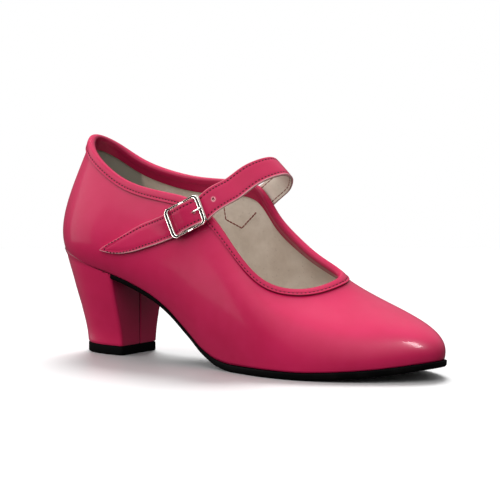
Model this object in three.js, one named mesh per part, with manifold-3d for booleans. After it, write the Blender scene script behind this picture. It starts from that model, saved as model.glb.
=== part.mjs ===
// Flamenco shoe for the right foot: hollow leather upper, bound topline, buckled instep strap,
// insole, thin outsole and a covered block heel with its top lift.
// Lengths are millimetres. x runs from the back of the seat to the toe, y to the inner side of
// the foot (the wearer's left) and z up from the floor.
import * as THREE from 'three';
import Module from 'manifold-3d';

const wasm = await Module();
wasm.setup();

// Last
const shoeLength = 229;
const ballWidth = 76;
const heelHeight = 52.4;
const counterHeight = 62;

// Bottom
const soleThickness = 3.6;
const waistThickness = 2.5;
const soleEdge = 1.2;
const soleBevel = 0.7;
const seatLength = 44;
const liftLength = 32.6;
const liftWidth = 29.8;
const liftThickness = 5;
const insoleThickness = 2.2;

// Upper
const wall = 1.8;
const featherWall = 2.1;
const bindingThickness = 0.8;
const bindingOutside = 4.5;
const bindingInside = 7;
const clearance = 0.3;

// Strap
const strapWidth = 13;
const strapThickness = 1.5;
const tailPoint = 40;
const tailFullness = 0.85;
const anchorWidth = 19;
const anchorPoint = 4.6;
const anchorNeck = 22;
const punchRadius = 1.1;
const punchPitch = 15.5;

// Buckle, in its own plane: along the strap, across it and out from the foot
const buckleLength = 24.4;
const buckleSlope = 25.5;
const endBarWidth = 2.8;
const railWidth = 1.25;
const frameDepth = 1.4;
const frameCorner = 3.2;
const windowCorner = 1.6;
const centreBarRadius = 0.7;
const lugLength = 3.2;
const pivotClearance = 0.15;
const prongRadius = 0.55;
const prongEye = 0.65;
const tabThickness = 0.7;
const tabWidth = 9.4;
const tabLength = 12;
const tabHeel = 5.5;

// Fineness of the faceted surfaces
const aroundCount = 72;
const riseCount = 11;
const strapAcross = 4;
const strapPitch = 3;
const rodSides = 10;
const cornerSteps = 5;

const table = (names, rows) => Object.fromEntries(
  names.map((name, column) => [name, rows.map((row) => row[column])]),
);

// Feather edge, back to toe: along as a share of the length, half widths of the ball width
const outline = table(['along', 'lateral', 'medial'], [
  [0.000, 0.000, 0.000],
  [0.029, 0.187, 0.190],
  [0.095, 0.315, 0.310],
  [0.190, 0.335, 0.305],
  [0.300, 0.325, 0.265],
  [0.405, 0.330, 0.240],
  [0.505, 0.385, 0.275],
  [0.600, 0.460, 0.360],
  [0.690, 0.500, 0.440],
  [0.775, 0.475, 0.475],
  [0.865, 0.365, 0.440],
  [0.955, 0.150, 0.290],
  [1.000, -0.070, 0.070],
]);

// Topline, in the same rows: along, half widths and rise above the feather edge as a share of
// the counter height
const topline = table(
  ['alongLateral', 'alongMedial', 'lateral', 'medial', 'riseLateral', 'riseMedial'],
  [
    [0.060, 0.060, 0.000, 0.000, 0.995, 0.995],
    [0.087, 0.086, 0.143, 0.152, 0.930, 0.938],
    [0.144, 0.140, 0.225, 0.232, 0.839, 0.839],
    [0.216, 0.218, 0.272, 0.263, 0.792, 0.822],
    [0.300, 0.305, 0.315, 0.276, 0.871, 0.921],
    [0.388, 0.393, 0.350, 0.293, 1.105, 1.183],
    [0.453, 0.462, 0.372, 0.304, 1.261, 1.348],
    [0.511, 0.513, 0.384, 0.285, 1.128, 1.172],
    [0.565, 0.565, 0.384, 0.260, 0.913, 1.014],
    [0.616, 0.618, 0.352, 0.228, 0.716, 0.893],
    [0.664, 0.668, 0.255, 0.198, 0.600, 0.785],
    [0.707, 0.712, 0.090, 0.170, 0.558, 0.674],
    [0.733, 0.733, -0.065, 0.070, 0.596, 0.596],
  ],
);

// Swell of the wall in the same rows: bulges as shares of the ball width, the heights over
// which they act as shares of the local rise
const swell = table(['footBulge', 'footHeight', 'topBulge', 'topHeight'], [
  [0.108, 0.28, 0.10, 0.35],
  [0.112, 0.28, 0.10, 0.35],
  [0.12, 0.30, 0.10, 0.35],
  [0.12, 0.30, 0.09, 0.35],
  [0.12, 0.32, 0.07, 0.33],
  [0.13, 0.35, 0.06, 0.30],
  [0.12, 0.38, 0.05, 0.28],
  [0.09, 0.40, 0.06, 0.26],
  [0.06, 0.42, 0.09, 0.25],
  [0.04, 0.44, 0.13, 0.27],
  [0.045, 0.47, 0.205, 0.345],
  [0.062, 0.50, 0.28, 0.44],
  [0.076, 0.50, 0.30, 0.49],
]);

// Underside of the last: height as a share of what the heel lifts it
const underside = table(['along', 'height'], [
  [0.00, 1.000],
  [0.10, 0.925],
  [0.20, 0.820],
  [0.30, 0.650],
  [0.345, 0.530],
  [0.41, 0.290],
  [0.46, 0.115],
  [0.51, 0.025],
  [0.56, 0.000],
  [0.74, 0.000],
  [0.82, 0.018],
  [0.90, 0.050],
  [1.01, 0.130],
]);

// Outsole, waist to toe: thickness between waist and tread, and how far its edge shows
const tread = table(['along', 'thickness', 'edge'], [
  [0.18, 0.00, 0.00],
  [0.42, 0.00, 0.10],
  [0.52, 0.80, 0.50],
  [0.57, 1.00, 0.75],
  [0.66, 1.00, 1.00],
  [0.80, 1.00, 1.00],
  [1.01, 0.60, 1.00],
]);

// Heel block from the seat down: how far it has drawn in from the seat to the lift
const heelTaper = table(['down', 'drawn'], [
  [0.00, 0.000],
  [0.05, 0.050],
  [0.33, 0.340],
  [0.63, 0.700],
  [0.88, 0.940],
  [1.00, 1.000],
]);

// Strap: along the shoe, height above the underside as a share of the counter height, side as a
// share of the ball width where it is free, 1 where it lies along the upper, lift from 0 on the
// bare upper to 1 over the topline binding, and tilt of its width in degrees
const strapColumns = ['along', 'rise', 'side', 'hug', 'lift', 'tilt'];
const strapTail = [
  [0.180, 0.199, -0.40, 1, 0, 74],
  [0.224, 0.275, -0.40, 1, 0, 73],
  [0.262, 0.368, -0.40, 1, 0, 72],
  [0.305, 0.498, -0.40, 1, 0, 70],
  [0.350, 0.655, -0.40, 1, 0, 67],
];
const strapBuckle = { along: 0.437, rise: 1.050, tilt: 63 };
const strapInstep = [
  [0.507, 1.387, -0.217, 0, 1, 46],
  [0.528, 1.519, -0.053, 0, 1, 43],
  [0.542, 1.574, 0.132, 0, 1, 41],
  [0.536, 1.531, 0.263, 0, 1, 42],
  [0.513, 1.426, 0.340, 0, 1, 44],
  [0.486, 1.308, 0.346, 0.6, 1, 45],
  [0.463, 1.200, 0.348, 1, 1, 44],
  [0.437, 1.055, 0.348, 1, 0.91, 42],
  [0.413, 0.918, 0.348, 1, 0.27, 32],
  [0.397, 0.795, 0.348, 1, 0, 22],
  [0.392, 0.700, 0.348, 1, 0, 13],
];

const leather = { color: 0xb3244c, roughness: 0.42, metalness: 0 };
const leatherDeep = { color: 0xa31f45, roughness: 0.45, metalness: 0 };
const lining = { color: 0xb5a18c, roughness: 0.85, metalness: 0 };
const soleBlack = { color: 0x141214, roughness: 0.6, metalness: 0 };
const nickel = { color: 0xd8d4cc, roughness: 0.18, metalness: 1 };

// Closed curve of period 1 through evenly spaced values: a cubic B-spline whose control values
// are found by repeated substitution
function closedSpline(values) {
  const count = values.length;
  const control = [...values];
  const settlingPasses = 60;
  for (let pass = 0; pass < settlingPasses; pass += 1) {
    for (let i = 0; i < count; i += 1) {
      const before = control[(i + count - 1) % count];
      const after = control[(i + 1) % count];
      control[i] = (6 * values[i] - before - after) / 4;
    }
  }
  return (u) => {
    const place = (u - Math.floor(u)) * count;
    const i = Math.floor(place) % count;
    const f = place - Math.floor(place);
    const g = 1 - f;
    const a = control[(i + count - 1) % count];
    const b = control[i];
    const c = control[(i + 1) % count];
    const d = control[(i + 2) % count];
    const inner = b * (3 * f ** 3 - 6 * f ** 2 + 4) + c * (3 * g ** 3 - 6 * g ** 2 + 4);
    return (a * g ** 3 + inner + d * f ** 3) / 6;
  };
}

// Curve through unevenly spaced values that never overshoots them, level past both ends
function monotone(xs, ys) {
  const last = xs.length - 1;
  const step = xs.slice(1).map((x, i) => x - xs[i]);
  const slope = ys.slice(1).map((y, i) => (y - ys[i]) / step[i]);
  const tangent = ys.map((_, i) => {
    if (i === 0) return slope[0];
    if (i === last) return slope[last - 1];
    if (slope[i - 1] * slope[i] <= 0) return 0;
    const near = 2 * step[i] + step[i - 1];
    const far = step[i] + 2 * step[i - 1];
    return (near + far) / (near / slope[i - 1] + far / slope[i]);
  });
  return (x) => {
    if (x <= xs[0]) return ys[0];
    if (x >= xs[last]) return ys[last];
    const i = xs.findIndex((edge) => edge > x) - 1;
    const f = (x - xs[i]) / step[i];
    const g = 1 - f;
    const ends = ys[i] * (1 + 2 * f) * g ** 2 + ys[i + 1] * (1 + 2 * g) * f ** 2;
    return ends + step[i] * f * g * (tangent[i] * g - tangent[i + 1] * f);
  };
}

// Open curve through evenly numbered values, each stretch shaped by its four neighbours
function openCurve(values) {
  const last = values.length - 1;
  return (place) => {
    const i = Math.min(Math.max(Math.floor(place), 0), last - 1);
    const f = place - i;
    const b = values[i];
    const c = values[i + 1];
    const a = i > 0 ? values[i - 1] : 2 * b - c;
    const d = i < last - 1 ? values[i + 2] : 2 * c - b;
    const bend = (2 * a - 5 * b + 4 * c - d) * f ** 2 + (3 * b - a - 3 * c + d) * f ** 3;
    return b + ((c - a) * f + bend) / 2;
  };
}

// Last value at which a rising test still holds, by halving
function solveRising(low, high, isBelow) {
  const halvings = 24;
  let from = low;
  let to = high;
  for (let i = 0; i < halvings; i += 1) {
    const middle = (from + to) / 2;
    if (isBelow(middle)) from = middle;
    else to = middle;
  }
  return (from + to) / 2;
}

// Closed body from a row of closed sections with equal counts. An open row gets end faces,
// laid in strips between points that lie opposite each other
function sweep(sections, closedRow, pairing = 0) {
  const rows = sections.length;
  const count = sections[0].length;
  const positions = sections.flat().flatMap((p) => [p.x, p.y, p.z]);
  const index = [];
  const spans = closedRow ? rows : rows - 1;
  for (let row = 0; row < spans; row += 1) {
    const next = (row + 1) % rows;
    for (let i = 0; i < count; i += 1) {
      const j = (i + 1) % count;
      const a = row * count + i;
      const b = row * count + j;
      const c = next * count + j;
      const d = next * count + i;
      index.push(a, b, c, a, c, d);
    }
  }
  const endFace = (row, turned) => {
    for (let i = 0; i < count; i += 1) {
      const a = i;
      const b = (count + pairing - i) % count;
      const c = i + 1;
      const d = (count + pairing - i - 1) % count;
      if (c > d) break;
      for (const corners of [[a, c, b], [c, d, b]]) {
        if (new Set(corners).size < 3) continue;
        const face = corners.map((corner) => row * count + corner);
        index.push(...(turned ? face.reverse() : face));
      }
      if (c === d) break;
    }
  };
  if (!closedRow) {
    endFace(0, true);
    endFace(rows - 1, false);
  }
  return facingOut(positions, index);
}

// Geometry with its faces turned outwards, judged by the sign of the enclosed volume
function facingOut(positions, index) {
  const corner = (i) => new THREE.Vector3().fromArray(positions, index[i] * 3);
  let volume = 0;
  for (let i = 0; i < index.length; i += 3) {
    volume += corner(i).dot(corner(i + 1).cross(corner(i + 2)));
  }
  if (volume < 0) index.reverse();
  const geometry = new THREE.BufferGeometry();
  geometry.setAttribute('position', new THREE.Float32BufferAttribute(positions, 3));
  geometry.setIndex(index);
  geometry.computeVertexNormals();
  return geometry;
}

// Solid for joining and cutting, from a geometry whose equal corners are first merged
function toSolid(geometry) {
  const place = geometry.attributes.position;
  const known = new Map();
  const vertices = [];
  const number = (i) => {
    const corner = [place.getX(i), place.getY(i), place.getZ(i)];
    const key = corner.map((value) => Math.round(value * 1e4)).join(' ');
    if (!known.has(key)) {
      known.set(key, vertices.length / 3);
      vertices.push(...corner);
    }
    return known.get(key);
  };
  const order = geometry.index ? Array.from(geometry.index.array) : [...Array(place.count).keys()];
  const triVerts = new Uint32Array(order.map(number));
  const vertProperties = new Float32Array(vertices);
  return new wasm.Manifold(new wasm.Mesh({ numProp: 3, vertProperties, triVerts }));
}

function fromSolid(solid) {
  const mesh = solid.getMesh();
  return facingOut(Array.from(mesh.vertProperties), Array.from(mesh.triVerts));
}

const aroundFoot = (lateral, medial) => closedSpline([
  ...lateral,
  ...medial.slice(1, -1).reverse(),
]);
const scaled = (column, size) => column.map((share) => share * size);

const heightShare = monotone(underside.along, underside.height);
const undersideAt = (x) => {
  return soleThickness + (heelHeight - soleThickness) * heightShare(x / shoeLength);
};

const edgeX = aroundFoot(scaled(outline.along, shoeLength), scaled(outline.along, shoeLength));
const edgeY = aroundFoot(scaled(outline.lateral, -ballWidth), scaled(outline.medial, ballWidth));
const edgeHeights = outline.along.map((share) => undersideAt(share * shoeLength));
const above = (rise) => rise.map((share, i) => edgeHeights[i] + share * counterHeight);
const topX = aroundFoot(
  scaled(topline.alongLateral, shoeLength),
  scaled(topline.alongMedial, shoeLength),
);
const topY = aroundFoot(scaled(topline.lateral, -ballWidth), scaled(topline.medial, ballWidth));
const topZ = aroundFoot(above(topline.riseLateral), above(topline.riseMedial));
const footBulge = aroundFoot(scaled(swell.footBulge, ballWidth), scaled(swell.footBulge, ballWidth));
const footHeight = aroundFoot(swell.footHeight, swell.footHeight);
const topBulge = aroundFoot(scaled(swell.topBulge, ballWidth), scaled(swell.topBulge, ballWidth));
const topHeight = aroundFoot(swell.topHeight, swell.topHeight);

const nudge = 1e-3;

// Outward direction, seen from above, of a closed curve around the foot
function planNormal(curveX, curveY, u) {
  const dx = curveX(u + nudge) - curveX(u - nudge);
  const dy = curveY(u + nudge) - curveY(u - nudge);
  return new THREE.Vector3(dy, -dx, 0).normalize();
}

const featherPoint = (u) => {
  const x = edgeX(u);
  return new THREE.Vector3(x, edgeY(u), undersideAt(x) + clearance);
};

// Outside of the upper. u runs once around from the back over the lateral side, v from the
// feather edge up to the topline along a rib with four control points
function upperPoint(u, v) {
  const foot = featherPoint(u);
  const top = new THREE.Vector3(topX(u), topY(u), topZ(u));
  const rise = top.z - foot.z;
  const low = foot.clone().addScaledVector(planNormal(edgeX, edgeY, u), footBulge(u));
  low.z += footHeight(u) * rise;
  const high = top.clone().addScaledVector(planNormal(topX, topY, u), topBulge(u));
  high.z -= topHeight(u) * rise;
  const w = 1 - v;
  return foot.multiplyScalar(w ** 3)
    .addScaledVector(low, 3 * w * w * v)
    .addScaledVector(high, 3 * w * v * v)
    .addScaledVector(top, v ** 3);
}

const ribDirection = (u, v) => upperPoint(u, v + nudge).sub(upperPoint(u, v - nudge)).normalize();

function upperNormal(u, v) {
  const around = upperPoint(u + nudge, v).sub(upperPoint(u - nudge, v));
  return around.cross(ribDirection(u, v)).normalize();
}

// Point at a distance out from the upper's outside, or into it where the distance is negative
const skinPoint = (u, v, out) => upperPoint(u, v).addScaledVector(upperNormal(u, v), out);

// Place on a rib that lies a given distance below the topline
function ribPlace(u, below) {
  const steps = 60;
  let v = 1;
  let walked = 0;
  let here = upperPoint(u, v);
  while (walked < below && v > 0) {
    v -= 1 / steps;
    const next = upperPoint(u, v);
    walked += next.distanceTo(here);
    here = next;
  }
  return v + (walked - below) / (walked || 1) * (1 - v);
}

// Half breadth of the upper's outside at a place seen from the side, held at the topline
function sideBreadth(x, z, side) {
  const uAt = (share) => (side < 0 ? share : 1 - share);
  const vAt = (u) => solveRising(0, 1, (v) => upperPoint(u, v).z < z);
  const share = solveRising(0, 0.5, (s) => upperPoint(uAt(s), vAt(uAt(s))).x < x);
  return Math.abs(upperPoint(uAt(share), vAt(uAt(share))).y);
}

const around = Array.from({ length: aroundCount }, (_, i) => i / aroundCount);

function makeUpper() {
  const rise = Array.from({ length: riseCount + 1 }, (_, i) => i / riseCount);
  const sections = around.map((u) => {
    const outside = rise.map((v) => upperPoint(u, v));
    const inside = rise.slice(1).map((v) => skinPoint(u, v, -wall));
    const foot = featherPoint(u).addScaledVector(planNormal(edgeX, edgeY, u), -featherWall);
    foot.z = undersideAt(foot.x) + clearance;
    return [...outside, ...inside.reverse(), foot];
  });
  return sweep(sections, true);
}

// Folded band over the topline: wide leg inside, narrow leg outside, rounded crown
function makeBinding() {
  const near = clearance;
  const far = clearance + bindingThickness;
  const crownSet = 0.6;
  const crownRise = 0.85;
  const sections = around.map((u) => {
    const outer = [1, 0.5, 0].map((share) => ribPlace(u, bindingOutside * share));
    const inner = [0, 0.5, 1].map((share) => ribPlace(u, bindingInside * share));
    const up = ribDirection(u, 1);
    const crown = (out, rise) => skinPoint(u, 1, out).addScaledVector(up, rise);
    const set = clearance + bindingThickness * crownSet;
    return [
      ...outer.map((v) => skinPoint(u, v, far)),
      crown(set, far * crownRise),
      crown(-wall - set, far * crownRise),
      ...inner.map((v) => skinPoint(u, v, -wall - far)),
      ...inner.slice(1).reverse().map((v) => skinPoint(u, v, -wall - near)),
      crown(-wall - near, near),
      crown(near, near),
      ...outer.slice(0, 2).reverse().map((v) => skinPoint(u, v, near)),
    ];
  });
  return sweep(sections, true);
}

// Outline moved out from the feather edge, at a height above or below the underside
const bottomPoint = (u, out, heightOf) => {
  const point = featherPoint(u).addScaledVector(planNormal(edgeX, edgeY, u), out);
  point.z = undersideAt(point.x) + heightOf(point.x);
  return point;
};

function makeInsole() {
  const inset = -(featherWall + clearance);
  const round = (height) => around.map((u) => bottomPoint(u, inset, () => height));
  return sweep([round(clearance), round(clearance + insoleThickness)], false);
}

const breastShare = solveRising(0, 0.5, (u) => edgeX(u) < seatLength);
const treadThickness = monotone(tread.along, tread.thickness);
const treadEdge = monotone(tread.along, tread.edge);
const soleDepth = (x) => {
  return waistThickness + (soleThickness - waistThickness) * treadThickness(x / shoeLength);
};

function makeOutsole() {
  const sideCount = 34;
  const step = (0.5 - breastShare) / sideCount;
  const places = Array.from({ length: 2 * sideCount + 1 }, (_, i) => breastShare + i * step);
  const ring = (bevel, depth) => places.map((u, i) => {
    const shows = treadEdge(edgeX(u) / shoeLength);
    const point = bottomPoint(u, shows * soleEdge - bevel, (x) => -depth * soleDepth(x));
    if (i === 0 || i === 2 * sideCount) {
      point.x = seatLength + clearance;
      point.z = undersideAt(point.x) - depth * soleDepth(point.x);
    }
    return point;
  });
  const bevelTop = soleBevel / 2;
  return sweep([ring(bevelTop, 0), ring(0, 0.35), ring(0, 0.7), ring(soleBevel, 1)], false, -1);
}

// Seat outline from the lateral breast corner round the back to the medial one
const seatCount = 22;
const seatPlaces = Array.from(
  { length: seatCount + 1 },
  (_, i) => breastShare * (1 - (2 * i) / seatCount),
);
const seatWidth = edgeY(-breastShare) - edgeY(breastShare);
const toLift = (point) => new THREE.Vector3(
  seatLength - (seatLength - point.x) * (liftLength / seatLength),
  point.y * (liftWidth / seatWidth),
  liftThickness,
);
const liftOutline = (z) => seatPlaces.map((u) => toLift(featherPoint(u)).setZ(z));

function makeHeel() {
  const rings = heelTaper.down.map((down, row) => seatPlaces.map((u) => {
    const seat = bottomPoint(u, 0, () => 0);
    const point = seat.clone().lerp(toLift(seat), heelTaper.drawn[row]);
    point.z = THREE.MathUtils.lerp(seat.z, liftThickness, down);
    return point;
  }));
  return sweep(rings, false, -1);
}

const makeLift = () => sweep([liftOutline(0), liftOutline(liftThickness - clearance)], false, -1);

// Buckle plane, upright beside the lateral quarter. Its base touches the quarter where that
// stands out most under the buckle, a clearance away
const slope = THREE.MathUtils.degToRad(buckleSlope);
const alongBuckle = new THREE.Vector3(Math.cos(slope), 0, Math.sin(slope));
const acrossBuckle = new THREE.Vector3(Math.sin(slope), 0, -Math.cos(slope));
const outOfBuckle = new THREE.Vector3(0, -1, 0);
const buckleX = strapBuckle.along * shoeLength;
const buckleZ = undersideAt(buckleX) + strapBuckle.rise * counterHeight;
const buckleWidth = strapWidth + 2 * clearance + 2 * railWidth;
const buckleBase = clearance + Math.max(...[-0.5, 0, 0.5].map((share) => {
  const x = buckleX + share * (alongBuckle.x * buckleLength + acrossBuckle.x * buckleWidth);
  const z = buckleZ + share * alongBuckle.z * buckleLength + acrossBuckle.z * buckleWidth / 2;
  return sideBreadth(x, z, -1);
}));
const buckleOrigin = new THREE.Vector3(buckleX, -buckleBase, buckleZ);
const buckleTurn = new THREE.Matrix4()
  .makeBasis(alongBuckle, outOfBuckle, acrossBuckle)
  .setPosition(buckleOrigin);

const barLevel = tabThickness + pivotClearance + centreBarRadius;
const humpLevel = 2 * barLevel + clearance;
const underBarLevel = tabThickness + clearance;
const frameLevel = underBarLevel + strapThickness + clearance;
const endBarPlace = (buckleLength - endBarWidth) / 2;

// Strap stations: the tail, the run over the buckle, the instep and the medial anchor
const overBinding = clearance + bindingThickness;
const restBlend = 2 * clearance;
const buckleRun = [
  [-1.15, underBarLevel],
  [-0.85, underBarLevel],
  [-0.5, humpLevel * 0.78],
  [0, humpLevel],
  [0.5, humpLevel * 0.78],
  [0.85, underBarLevel],
  [1.15, underBarLevel],
].map(([share, level]) => [share * endBarPlace, level]).map(([place, level]) => ({
  x: buckleX + place * alongBuckle.x,
  z: buckleZ + place * alongBuckle.z,
  side: -buckleBase - level,
  hug: 1,
  lift: 0,
  level: buckleBase + level,
  tilt: strapBuckle.tilt,
}));
const station = (row) => {
  const cell = Object.fromEntries(strapColumns.map((name, i) => [name, row[i]]));
  const x = cell.along * shoeLength;
  return {
    ...cell,
    x,
    z: undersideAt(x) + cell.rise * counterHeight,
    side: cell.side * ballWidth,
  };
};
const stations = [...strapTail.map(station), ...buckleRun, ...strapInstep.map(station)];
const firstInstep = strapTail.length + buckleRun.length;
const column = (name) => openCurve(stations.map((entry) => entry[name]));
const strapX = column('x');
const strapZ = column('z');
const strapSide = column('side');
const strapHug = column('hug');
const strapLift = column('lift');
const strapTilt = column('tilt');
const levelCurve = monotone(
  buckleRun.map((_, i) => i),
  buckleRun.map((entry) => entry.level),
);

// Level that the buckle asks of the strap, easing back to the quarter beyond the end bars
function strapLevel(place) {
  const local = place - strapTail.length;
  const last = buckleRun.length - 1;
  if (local >= 0 && local <= last) return levelCurve(local);
  return local < 0 ? buckleRun[0].level + 2 * underBarLevel * local : buckleRun[last].level;
}

const softMax = (a, b, blend) => (a + b + Math.hypot(a - b, blend)) / 2;

// Inner face of the strap at a place along it and a distance across it
function strapPoint(place, across) {
  const tilt = THREE.MathUtils.degToRad(strapTilt(place));
  const x = strapX(place) + Math.cos(tilt) * across;
  const z = strapZ(place) - Math.sin(tilt) * across;
  const free = strapSide(place);
  const hug = Math.min(Math.max(strapHug(place), 0), 1);
  if (hug === 0) return new THREE.Vector3(x, free, z);
  const side = place < firstInstep ? -1 : 1;
  const rested = sideBreadth(x, z, side) + clearance + strapLift(place) * overBinding;
  const held = side < 0 ? softMax(rested, strapLevel(place), restBlend) : rested;
  return new THREE.Vector3(x, THREE.MathUtils.lerp(free, side * held, hug), z);
}

// Distance along the strap's middle, tabulated once
const strapFineness = 12;
const strapWalk = [0];
const middleOf = (place) => new THREE.Vector3(strapX(place), strapSide(place), strapZ(place));
const strapEnd = stations.length - 1;
for (let i = 1; i <= strapEnd * strapFineness; i += 1) {
  const step = middleOf(i / strapFineness).distanceTo(middleOf((i - 1) / strapFineness));
  strapWalk.push(strapWalk[i - 1] + step);
}
const strapLength = strapWalk.at(-1);
const placeOf = monotone(strapWalk, strapWalk.map((_, i) => i / strapFineness));

// Half width: a long pointed tail, a parallel band, then the wider pointed anchor
function strapHalf(walk) {
  const half = strapWidth / 2;
  const fromEnd = strapLength - walk;
  if (walk < tailPoint) return half * (1 - (1 - walk / tailPoint) ** 2) ** tailFullness;
  if (fromEnd < anchorPoint) return (anchorWidth / 2) * (fromEnd / anchorPoint);
  const neck = THREE.MathUtils.smoothstep(fromEnd, anchorNeck / 2, anchorNeck);
  return THREE.MathUtils.lerp(anchorWidth / 2, half, neck);
}

// Sections of the strap close together at both ends: in the tail, in the neck that widens into
// the anchor and in the anchor's point, each as shares of that stretch
const tailShares = [0.013, 0.04, 0.09, 0.15, 0.25, 0.37, 0.52, 0.70, 0.87];
const neckShares = [1, 0.83, 0.66, 0.48, 0.34, 0.17];
const pointShares = [1, 0.65, 0.33, 0.09];

// Walks along the strap at which it gets a section
function strapWalks() {
  const band = strapLength - tailPoint - anchorNeck;
  const bandCount = Math.round(band / strapPitch);
  const tail = tailShares.map((share) => share * tailPoint);
  const middle = Array.from({ length: bandCount }, (_, i) => tailPoint + (i / bandCount) * band);
  const neck = neckShares.map((share) => THREE.MathUtils.lerp(anchorPoint, anchorNeck, share));
  const point = pointShares.map((share) => share * anchorPoint);
  return [...tail, ...middle, ...[...neck, ...point].map((left) => strapLength - left)];
}

// Prong's middle line in the buckle's plane, along and out, from its eye to its tip
const eyeRadius = centreBarRadius + pivotClearance + prongEye;
const prongRest = frameLevel + frameDepth + clearance + prongRadius;
const prongPath = [
  [eyeRadius * 0.67, barLevel + eyeRadius * 0.3],
  [eyeRadius * 2, barLevel + eyeRadius],
  [endBarPlace * 0.5, frameLevel + frameDepth],
  [endBarPlace * 0.7, prongRest],
  [endBarPlace, prongRest + prongRadius / 5],
  [endBarPlace + endBarWidth * 0.4, prongRest],
];

// Round rod along the prong's path, in the buckle's plane
function rod(radius, reach) {
  const alongAt = openCurve(prongPath.map(([place]) => place));
  const outAt = openCurve(prongPath.map(([, out]) => out));
  const ends = prongPath.length - 1;
  const steps = 12;
  const sections = Array.from({ length: steps + 1 }, (_, i) => {
    const place = (i / steps) * ends;
    const ahead = new THREE.Vector2(
      alongAt(place + nudge) - alongAt(place - nudge),
      outAt(place + nudge) - outAt(place - nudge),
    ).normalize();
    const end = i === steps ? reach : i === 0 ? -reach : 0;
    const taper = 1 - 0.25 * (i / steps);
    return Array.from({ length: rodSides }, (_, k) => {
      const turn = (2 * Math.PI * k) / rodSides;
      const rise = Math.cos(turn) * radius * taper;
      return new THREE.Vector3(
        alongAt(place) + ahead.x * end - ahead.y * rise,
        outAt(place) + ahead.y * end + ahead.x * rise,
        Math.sin(turn) * radius * taper,
      );
    });
  });
  return sweep(sections, false, 0);
}

const inBuckle = (geometry) => geometry.applyMatrix4(buckleTurn);

function makeStrap() {
  const shares = Array.from({ length: strapAcross + 1 }, (_, i) => (2 * i) / strapAcross - 1);
  const sections = strapWalks().map((walk) => {
    const place = placeOf(walk);
    const half = strapHalf(walk);
    const inside = shares.map((share) => strapPoint(place, share * half));
    const along = strapPoint(place + nudge * 10, 0).sub(strapPoint(place - nudge * 10, 0));
    const across = inside.at(-1).clone().sub(inside[0]);
    const out = across.cross(along).normalize().multiplyScalar(strapThickness);
    return [...inside, ...inside.map((point) => point.clone().add(out)).reverse()];
  });
  const band = toSolid(sweep(sections, false, -1));
  const prongGap = toSolid(inBuckle(rod(prongRadius + clearance, clearance)));
  return fromSolid(band.subtract(prongGap).subtract(punch()));
}

// Free punched hole, a pitch beyond the one that the prong fills
function punch() {
  const prongWalk = strapWalk[(strapTail.length + 4) * strapFineness];
  const place = placeOf(prongWalk + punchPitch);
  const along = strapPoint(place + nudge * 10, 0).sub(strapPoint(place - nudge * 10, 0));
  const across = strapPoint(place, 1).sub(strapPoint(place, -1));
  const out = across.clone().cross(along).normalize();
  const pin = new THREE.CylinderGeometry(punchRadius, punchRadius, strapThickness * 4, rodSides);
  const turn = new THREE.Quaternion().setFromUnitVectors(new THREE.Vector3(0, 1, 0), out);
  pin.applyQuaternion(turn);
  const centre = strapPoint(place, 0);
  return toSolid(pin.translate(centre.x, centre.y, centre.z));
}

// Corner-rounded oblong in the buckle's plane, as points with equal numbers at each corner
function oblong(halfLength, halfWidth, radius, out) {
  const quarterTurns = [0, 1, 2, 3];
  return quarterTurns.flatMap((corner) => {
    const signX = corner === 0 || corner === 3 ? 1 : -1;
    const signY = corner < 2 ? 1 : -1;
    return Array.from({ length: cornerSteps + 1 }, (_, i) => {
      const turn = (Math.PI / 2) * (corner + i / cornerSteps);
      return new THREE.Vector3(
        signX * (halfLength - radius) + Math.cos(turn) * radius,
        out,
        signY * (halfWidth - radius) + Math.sin(turn) * radius,
      );
    });
  });
}

// Frame with a rounded crown, carried round the oblong, and the lower centre bar on two lugs
function makeFrame() {
  const profile = [[0, 0], [0, 0.6], [0.22, 1], [0.78, 1], [1, 0.6], [1, 0]];
  const rings = profile.map(([inward, up]) => oblong(
    buckleLength / 2 - endBarWidth * inward,
    buckleWidth / 2 - railWidth * inward,
    THREE.MathUtils.lerp(frameCorner, windowCorner, inward),
    frameLevel + frameDepth * up,
  ));
  const sections = rings[0].map((_, i) => rings.map((ring) => ring[i]));
  const bar = new THREE.CylinderGeometry(
    centreBarRadius,
    centreBarRadius,
    buckleWidth - railWidth,
    rodSides,
  ).rotateX(Math.PI / 2).translate(0, barLevel, 0);
  const lugRise = frameLevel + frameDepth / 2 - (barLevel - centreBarRadius);
  const lug = (side) => new THREE.BoxGeometry(lugLength, lugRise, railWidth * 0.9).translate(
    0,
    barLevel - centreBarRadius + lugRise / 2,
    side * (buckleWidth - railWidth) / 2,
  );
  const joined = [bar, lug(1), lug(-1)].map(toSolid);
  const solid = joined.reduce((sum, piece) => sum.add(piece), toSolid(sweep(sections, true)));
  return inBuckle(fromSolid(solid));
}

// Prong: a flat eye round the centre bar and a tapering rod that rests over the end bar
function makeProng() {
  const eye = new THREE.Shape().absarc(0, 0, eyeRadius, 0, 2 * Math.PI);
  eye.holes.push(new THREE.Path().absarc(0, 0, centreBarRadius + pivotClearance, 0, 2 * Math.PI));
  const depth = prongRadius * 2;
  const loop = new THREE.ExtrudeGeometry(eye, { depth, bevelEnabled: false, curveSegments: 12 })
    .translate(0, barLevel, -depth / 2);
  const solid = toSolid(loop).add(toSolid(rod(prongRadius, 0)));
  const bore = new THREE.CylinderGeometry(
    centreBarRadius + pivotClearance,
    centreBarRadius + pivotClearance,
    depth * 2,
    24,
  ).rotateX(Math.PI / 2).translate(0, barLevel, 0);
  return inBuckle(fromSolid(solid.subtract(toSolid(bore))));
}

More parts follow.
